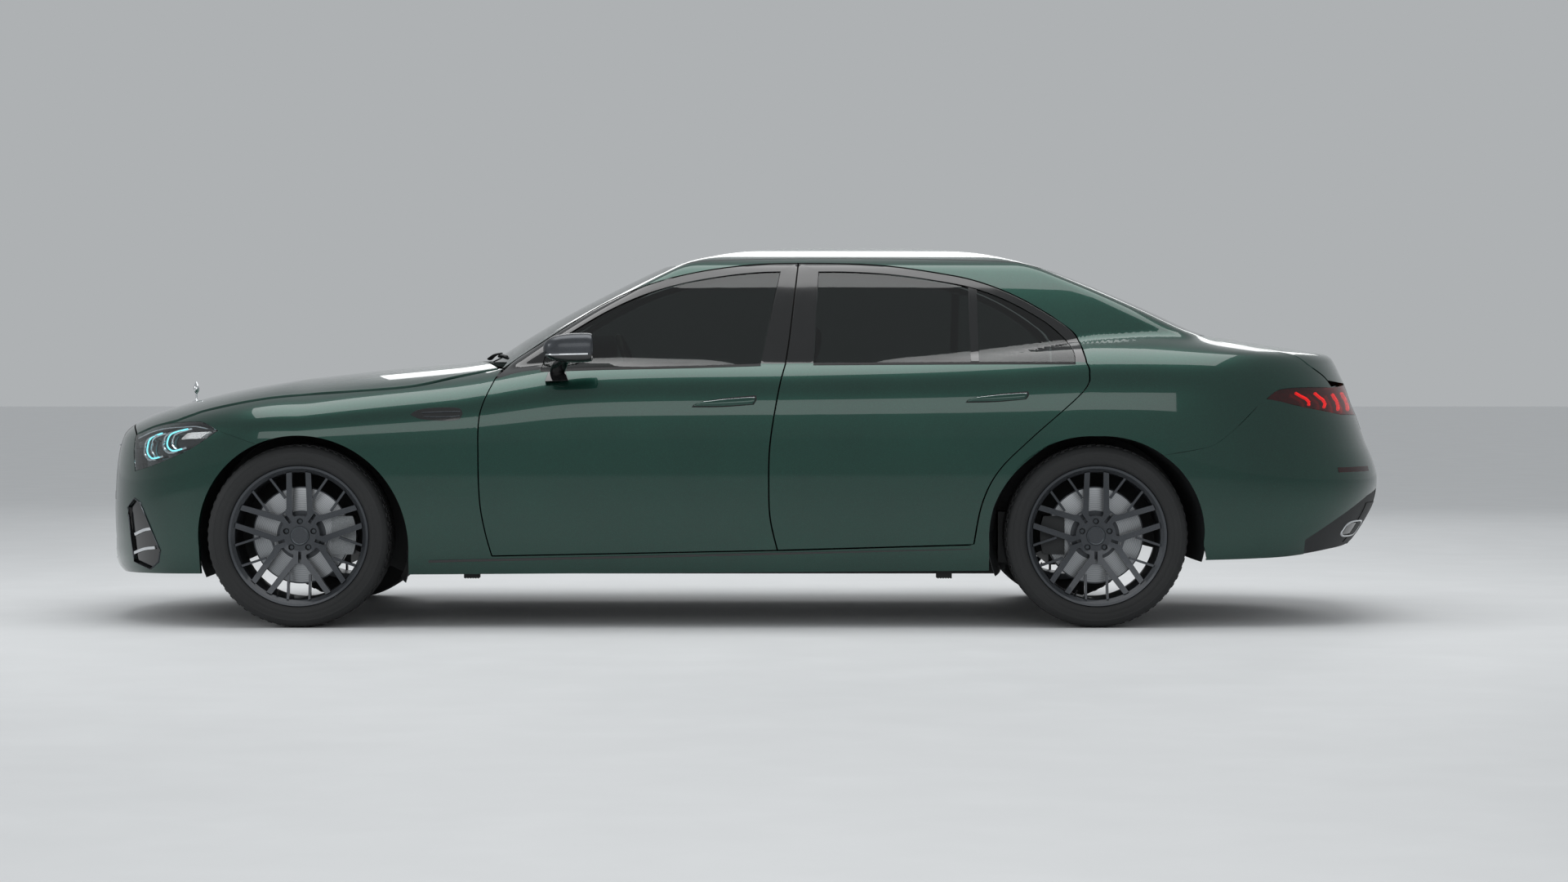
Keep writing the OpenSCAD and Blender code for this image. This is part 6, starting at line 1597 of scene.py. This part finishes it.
def wheel_turned(profile, x, side, n=120):
    """A closed ring about a wheel's axle, from radius and distance-outwards pairs."""
    profile = np.asarray(profile, float)
    a = np.linspace(0, 2 * np.pi, n, endpoint=False)
    pts = np.stack([x + profile[:, :1] * np.cos(a), side * (TRACK_HALF + profile[:, 1:]) * np.ones(n),
                    AXLE_Z + profile[:, :1] * np.sin(a)], -1)
    return Form().add(pts, ring_faces(len(profile), n, closed=True))


def block(r0, r1, w0, w1, a0, a1, skew, x, side, na=3):
    """One tread block between two radii, two widths and two angles, sheared across its width."""
    form = Form()
    w = np.array([w0, w1], float)
    a = np.radians(np.linspace(a0, a1, na))
    shape = []
    for r in (r1, r0):
        g = np.zeros((2, na, 3))
        for i in range(2):
            t = a + math.radians(skew) * (w[i] / 100)
            g[i] = np.stack([x + r * np.cos(t), np.full(na, side * (TRACK_HALF + w[i])),
                             AXLE_Z + r * np.sin(t)], -1)
        shape.append(g)
    form.grid(shape[0]).grid(shape[1], flip=True)
    for s, flip in ((0, True), (1, False)):
        form.grid(np.stack([shape[0][s], shape[1][s]]), flip=flip)
    for s, flip in ((0, False), (-1, True)):
        form.grid(np.stack([shape[0][:, s], shape[1][:, s]]), flip=flip)
    return form


# Blocks of one tread pitch: inner and outer width, start and end share of the pitch, radius
TREAD_BLOCKS = ((-104, -74, 0.4, 0.86, 353.6), (-66, -36, 0.1, 0.9, 355.9), (-28, 28, 0.0, 0.94, 356.0),
                (36, 66, 0.1, 0.9, 355.9), (74, 104, 0.4, 0.86, 353.6))
BOLT_CIRCLE_R, BOLT_STEPS = 56, ((7.6, 55), (8.6, 53.4), (8.6, 46))
PITCHES, TREAD_FOOT_R, TREAD_SKEW, SHOULDER_W = 62, 350.5, 4.0, 100
for corner, (x, side) in WHEELS.items():
    body = "wheel_" + corner
    put("tyre_wall_" + corner, wheel_turned(TYRE, x, side), body, (rubber,), "tyre_" + corner, sharp=50)
    pitch = 360 / PITCHES
    unit = Form()
    for w0, w1, a0, a1, r in TREAD_BLOCKS:
        skew = TREAD_SKEW if abs(w0) < SHOULDER_W else 0.0
        unit.take(block(TREAD_FOOT_R, r, w0, w1, pitch * a0, pitch * a1, skew, x, side))
    repeated("tyre_tread_" + corner, unit, body, rubber, "ring", PITCHES, (x, 0, AXLE_Z))
    disc = wheel_turned([[96, 16.2], [184, 16.2], [187, 15.4], [187, 14.8], [96, 14.8]], x, side, 120)
    put("disc_face_" + corner, disc, body, (turned[corner],))
    a = np.linspace(0, 2 * np.pi, 6, endpoint=False)
    bolt = np.stack([np.stack([x + r * np.cos(a), np.full(6, side * (TRACK_HALF + d)),
                               AXLE_Z + BOLT_CIRCLE_R + r * np.sin(a)], -1) for r, d in BOLT_STEPS])
    repeated("wheel_bolts_" + corner, Form().add(bolt, ring_faces(3, 6)), body, dark_chrome, "ring", 5,
             (x, 0, AXLE_Z))
    cap = wheel_turned([[30, 72.2], [33, 73.4], [36, 73.0], [37.4, 71.4], [37.4, 66], [30, 66]], x, side, 64)
    put("wheel_cap_ring_" + corner, cap, body, (dark_chrome,))
    va = math.radians(250)
    valve = np.array([[x + r * math.cos(va), side * (TRACK_HALF + w), AXLE_Z + r * math.sin(va)]
                      for r, w in ((243, 84), (238, 90), (231, 97), (226, 102))])
    put("valve_" + corner, tube(valve, [4.2, 3.6, 3.6, 3.0], 12), body, (seal,))

# Liners of the wheel arches: ribbed shells with an inner wall, whose lower part is painted shade

LINER_ROWS, LINER_COLUMNS, LINER_RIBS = 95, 30, 9
LINER_RELIEF, LINER_SKIN, LINER_SHADE_FALL = 2.5, 3.0, -0.62


def arch_liner(x, radius, opening, low_turns, y_in):
    """A ribbed shell over the wheel, from an inner wall out to the edge of the body's opening."""
    turn = np.linspace(*low_turns, LINER_ROWS)
    a = np.radians(turn)
    edge = opening(turn)
    reach = np.maximum(np.hypot(edge[:, 0] - x, edge[:, 1] - AXLE_Z) + 1.5, radius)
    y_out = np.minimum(side_y(edge[:, 0], np.maximum(edge[:, 1], SILL_LOW)) - 14, 940)
    across = np.linspace(0, 1, LINER_COLUMNS)
    y = y_in + np.outer(y_out - y_in, across)
    rib = np.outer(np.clip(np.sin(np.linspace(0, LINER_RIBS * 2 * np.pi, LINER_ROWS)) * 3, -1, 1),
                   np.sin(across * np.pi) ** 0.5) * LINER_RELIEF
    r = radius + np.outer(reach - radius, across ** 3) + LINER_RELIEF + rib
    inner = np.stack([x + r * np.cos(a)[:, None], y, AXLE_Z + r * np.sin(a)[:, None]], -1)
    r = r + LINER_SKIN
    outer = np.stack([x + r * np.cos(a)[:, None], y, AXLE_Z + r * np.sin(a)[:, None]], -1)
    form = Form().solid(outer, inner)
    s = np.linspace(0, 1, 24)
    # The inner wall hangs down well below the axle, past where a real wheelhouse ends. That lower part is a
    # dark sheet of painted shade, standing for the dark under the car seen through the wheel.
    low = np.maximum(np.sin(a), LINER_SHADE_FALL)
    wall = np.stack([x + np.outer(np.cos(a), s) * radius,
                     np.outer(np.ones(LINER_ROWS), y_in + 1 + 6 * np.sin(s * np.pi) ** 2),
                     AXLE_Z + np.outer(low, s) * radius], -1)
    return form.solid(wall, wall - [0, LINER_SKIN, 0])


put_pair("arch_liner_front_{}", arch_liner(FRONT_X, 402, front_arch, (-24, 204), 522), "body", (grained,))
put_pair("arch_liner_rear_{}", arch_liner(REAR_X, 384, rear_arch, (-14, 202), 560), "body", (grained,))

# Cabin: seats and bench

SWELL_VOXEL, SWELL_PRESSURE, SWELL_QUALITY, SWELL_FRAMES, SWELL_CAP = 0.018, 4.0, 4, 20, 0.012
CUSHION_CUTS, PADDED_FILL = 11, 0.75


def cushion(name, lo, hi, round_corner, tilt=None, body="body", nodes=(), material=nappa, swell=SWELL_CAP):
    """A stuffed block with rounded corners, swollen as cloth and finished as upholstery."""
    lo, hi = np.asarray(lo, float) / 1000, np.asarray(hi, float) / 1000
    mid, size = (lo + hi) / 2, (hi - lo) / 2
    bm = bmesh.new()
    bmesh.ops.create_cube(bm, size=2.0)
    bmesh.ops.subdivide_edges(bm, edges=bm.edges, cuts=CUSHION_CUTS, use_grid_fill=True)
    for v in bm.verts:
        p = np.array(v.co[:])
        r = round_corner
        q = np.sign(p) * np.minimum(np.abs(p), 1)
        edge = np.clip((np.abs(q) - (1 - r)) / r, 0, 1)
        length = np.linalg.norm(edge)
        if length > 1:
            near = np.abs(q) > 1 - r
            q = np.sign(q) * ((1 - r) + r * edge / length * near + ~near * (np.abs(q) - 1 + r))
        v.co = (mid + size * q).tolist()
    if tilt is not None:
        pivot, angle = tilt
        c, s = math.cos(angle), math.sin(angle)
        for v in bm.verts:
            dx, dz = v.co.x - pivot[0] / 1000, v.co.z - pivot[1] / 1000
            v.co.x, v.co.z = pivot[0] / 1000 + dx * c + dz * s, pivot[1] / 1000 - dx * s + dz * c
    mesh = bpy.data.meshes.new(name)
    bm.to_mesh(mesh)
    bm.free()
    obj = bpy.data.objects.new(name, mesh)
    bpy.context.collection.objects.link(obj)
    bpy.context.view_layer.objects.active = obj
    remesh = obj.modifiers.new("even", "REMESH")
    remesh.mode, remesh.voxel_size = "VOXEL", SWELL_VOXEL
    bpy.ops.object.modifier_apply(modifier="even")
    start = np.array([v.co[:] for v in obj.data.vertices])
    cloth = obj.modifiers.new("swell", "CLOTH")
    cloth.settings.use_pressure = True
    cloth.settings.uniform_pressure_force = SWELL_PRESSURE
    cloth.settings.effector_weights.gravity = 0
    cloth.settings.quality = SWELL_QUALITY
    for f in range(1, SWELL_FRAMES + 1):
        bpy.context.scene.frame_set(f)
    done = obj.evaluated_get(bpy.context.evaluated_depsgraph_get())
    grown = np.array([v.co[:] for v in done.data.vertices])
    obj.modifiers.remove(cloth)
    bpy.context.scene.frame_set(1)
    move = grown - start
    far = np.linalg.norm(move, axis=1)[:, None]
    move *= np.minimum(1, swell / np.maximum(far, 1e-9))
    obj.data.vertices.foreach_set("co", (start + move).astype(np.float32).ravel())
    obj.data.update()
    obj.data.materials.append(material)
    obj.data.shade_smooth()
    soft = obj.modifiers.new("soft", "SUBSURF")
    soft.levels = soft.render_levels = 1
    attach(obj, body)
    if nodes:
        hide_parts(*nodes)
    return obj


SEAT_Y = 390
first = True
for side, s in (("left", -1), ("right", 1)):
    y = s * SEAT_Y
    cushion("seat_cushion_" + side, (-322, y - 236, 338), (160, y + 236, 452), 0.35,
            nodes=("front_seats",) if first else ())
    cushion("seat_back_" + side, (168, y - 222, 400), (262, y + 222, 1000), 0.4,
            ((160, 400), math.radians(12)))
    cushion("seat_head_" + side, (232, y - 104, 1040), (300, y + 104, 1176), 0.5,
            ((250, 1040), math.radians(8)))
    for k, dy in enumerate((-150, 150)):
        cushion("seat_bolster_%s_%d" % (side, k + 1), (-300, y + dy * 1.37 - 26, 440),
                (120, y + dy * 1.37 + 26, 472), 0.6)
    posts = Form()
    for dy in (-50, 50):
        posts.take(tube([[296, y + dy, 980], [300, y + dy, 1010], [288, y + dy, 1060]], 6, 12))
    put("seat_posts_" + side, posts, "body", (chrome,))
    base = Form()
    for dy in (-150, 150):
        foot_path = [[-200, y + dy, 262], [-190, y + dy, 330], [90, y + dy, 330], [98, y + dy, 262]]
        base.take(tube(foot_path, 14, 10, flatten=(0.6, 1.4)))
        rail_path = [[-240, y + dy, 252], [-60, y + dy, 252], [140, y + dy, 252]]
        base.take(tube(rail_path, 11, 8, flatten=(1.4, 0.8)))
    put("seat_runners_" + side, base, "body", (ecoat,))
    first = False
cushion("bench_cushion", (648, -592, 330), (1000, 592, 476), 0.3, nodes=("rear_bench",))
cushion("bench_base", (650, -590, 244), (1000, 590, 334), 0.12, swell=0.002)
cushion("bench_back", (912, -608, 486), (1000, 608, 955), 0.35, ((912, 486), math.radians(20)))
for k, y in enumerate((-SEAT_Y, SEAT_Y)):
    cushion("bench_head_%d" % (k + 1), (1096, y - 104, 972), (1168, y + 104, 1078), 0.5)

# Finishes of the solids that stay as they are

CARRIED = {"floor_pan": underseal, "engine_block": cast, "dashboard": soft_skin, "steering_wheel": nappa}
CARRIED.update({name: ecoat for name in ("front_frame", "rear_frame", "front_axle", "rear_axle")})
CARRIED.update({"knuckle_" + side: cast for side in ("left", "right")})
CARRIED.update({"rim_" + corner: graphite for corner in WHEELS})
for name, material in CARRIED.items():
    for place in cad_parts[name].material_slots:
        place.material = material

# Dashboard screens, carpet and wipers


def slab(x0, x1, y0, y1, z0, z1, n=6):
    """A thin upright panel that faces the seats."""
    y, z = np.meshgrid(np.linspace(y0, y1, n), np.linspace(z0, z1, n))
    x = np.full(y.shape, float(x1))
    return Form().solid(np.stack([x, y, z], -1), np.stack([x - (x1 - x0), y, z], -1))


put("screen_driver", slab(-566, -556, -520, -220, 800, 894), "body", (display,), bevel=2)
put("screen_centre", slab(-566, -554, -130, 130, 700, 892), "body", (display,), bevel=2)
mat = Form()
for y0, y1 in ((-690, -140), (140, 690)):
    gx, gy2 = np.meshgrid(np.linspace(-1055, 630, 40), np.linspace(y0, y1, 16), indexing="ij")
    gz = 241.5 + 1.2 * np.sin(gx / 37.0) * np.sin(gy2 / 29.0)
    top = np.stack([gx, gy2, gz], -1)
    mat.solid(top, top - [0, 0, 1.0])
put("carpet", mat, "body", (carpet,))

wiper = Form()
for y0, y1 in ((-560, -40), (60, 600)):
    blade = np.linspace(0, 1, 25)
    by = y0 + (y1 - y0) * blade
    bx = base_x(by) + 26 + 10 * np.sin(blade * np.pi)
    bz = cabin_z(bx, by) + 6
    wiper.take(tube(np.stack([bx, by, bz], 1), 5, 8, flatten=(1.2, 0.9)))
    root = np.array([base_x(y1) - 8, y1 - 40, float(cabin_z(base_x(y1) + 30, y1)) - 6])
    top = np.array([bx[12], by[12], bz[12] + 7])
    arm = np.stack([root, root * 0.55 + top * 0.45 + [0, 0, 6], top])
    wiper.take(tube(curve(arm, 6), np.linspace(9, 4.5, 6 * FINE + 1), 10, flatten=(1.4, 0.7)))
put("wipers", wiper, "body", (grained,))

# Floor, light and camera

floor_mesh = bpy.data.meshes.new("studio_floor")
floor_mesh.from_pydata([(-60, -40, 0), (60, -40, 0), (60, 60, 0), (-60, 60, 0)], [], [(0, 1, 2, 3)])
floor = bpy.data.objects.new("studio_floor", floor_mesh)
bpy.context.collection.objects.link(floor)
# Painted studio floor, plain pale grey
floor_mesh.materials.append(finish("paint_studio_floor", "#D8DADB", "#D3D5D6", 400, (0.55, 0.65)))

world = bpy.data.worlds.new("studio")
bpy.context.scene.world = world
world.use_nodes = True
sky = next(n for n in world.node_tree.nodes if n.type == "BACKGROUND")
ray = node(world.node_tree, "ShaderNodeLightPath")
seen_by = node(world.node_tree, "ShaderNodeMath",
               {0: ray.outputs["Is Camera Ray"], 1: ray.outputs["Is Glossy Ray"]},
               operation="MAXIMUM")
seen_by = node(world.node_tree, "ShaderNodeMath",
               {0: seen_by.outputs[0], 1: ray.outputs["Is Transmission Ray"]}, operation="MAXIMUM")
tone = node(world.node_tree, "ShaderNodeMix", {"Factor": seen_by.outputs[0]}, data_type="RGBA")
tone.inputs[6].default_value, tone.inputs[7].default_value = rgb("#C2C4C6"), rgb("#AEB1B3")
world.node_tree.links.new(tone.outputs[2], sky.inputs["Color"])
sky.inputs["Strength"].default_value = 1.0


def soft_box(name, place, target, width, height, power):
    """A large soft light that points at a place."""
    lamp_data = bpy.data.lights.new(name, "AREA")
    lamp_data.shape, lamp_data.size, lamp_data.size_y, lamp_data.energy = "RECTANGLE", width, height, power
    obj = bpy.data.objects.new(name, lamp_data)
    bpy.context.collection.objects.link(obj)
    obj.location = place
    way = np.array(place, float) - np.array(target, float)
    yaw, pitch = math.atan2(way[0], -way[1]), math.atan2(math.hypot(way[0], way[1]), way[2])
    obj.rotation_euler = (pitch, 0, yaw)
    return obj


# Place, target, width, height and power of each light, in metres and watts
SOFT_BOXES = {
    "top": ((0, -0.4, 5.2), (0, 0, 0), 7.0, 3.4, 210),
    "camera_side": ((-0.5, -9.5, 3.0), (0, 0, 0.9), 9.0, 2.4, 110),
    "far_side": ((1.0, 8.5, 4.6), (0, 0, 0.9), 8.0, 2.0, 110),
    "nose": ((-8.0, -3.5, 3.4), (-2.0, 0, 0.7), 2.2, 2.2, 70),
}
for name, row in SOFT_BOXES.items():
    soft_box("softbox_" + name, *row)

CAMERA_PLACE, SENSOR_MM, LENS_MM, SHIFT_UP, CLIP_END = (0.163, -14.5, 1.052), 36.0, 80.06, -0.0534, 200
camera_data = bpy.data.cameras.new("camera")
camera = bpy.data.objects.new("camera", camera_data)
bpy.context.collection.objects.link(camera)
camera.location = CAMERA_PLACE
camera.rotation_euler = (math.radians(90), 0, 0)
camera_data.sensor_width, camera_data.lens = SENSOR_MM, LENS_MM
camera_data.shift_y = SHIFT_UP
camera_data.clip_end = CLIP_END
bpy.context.scene.camera = camera
bpy.context.scene.view_settings.view_transform = "Standard"
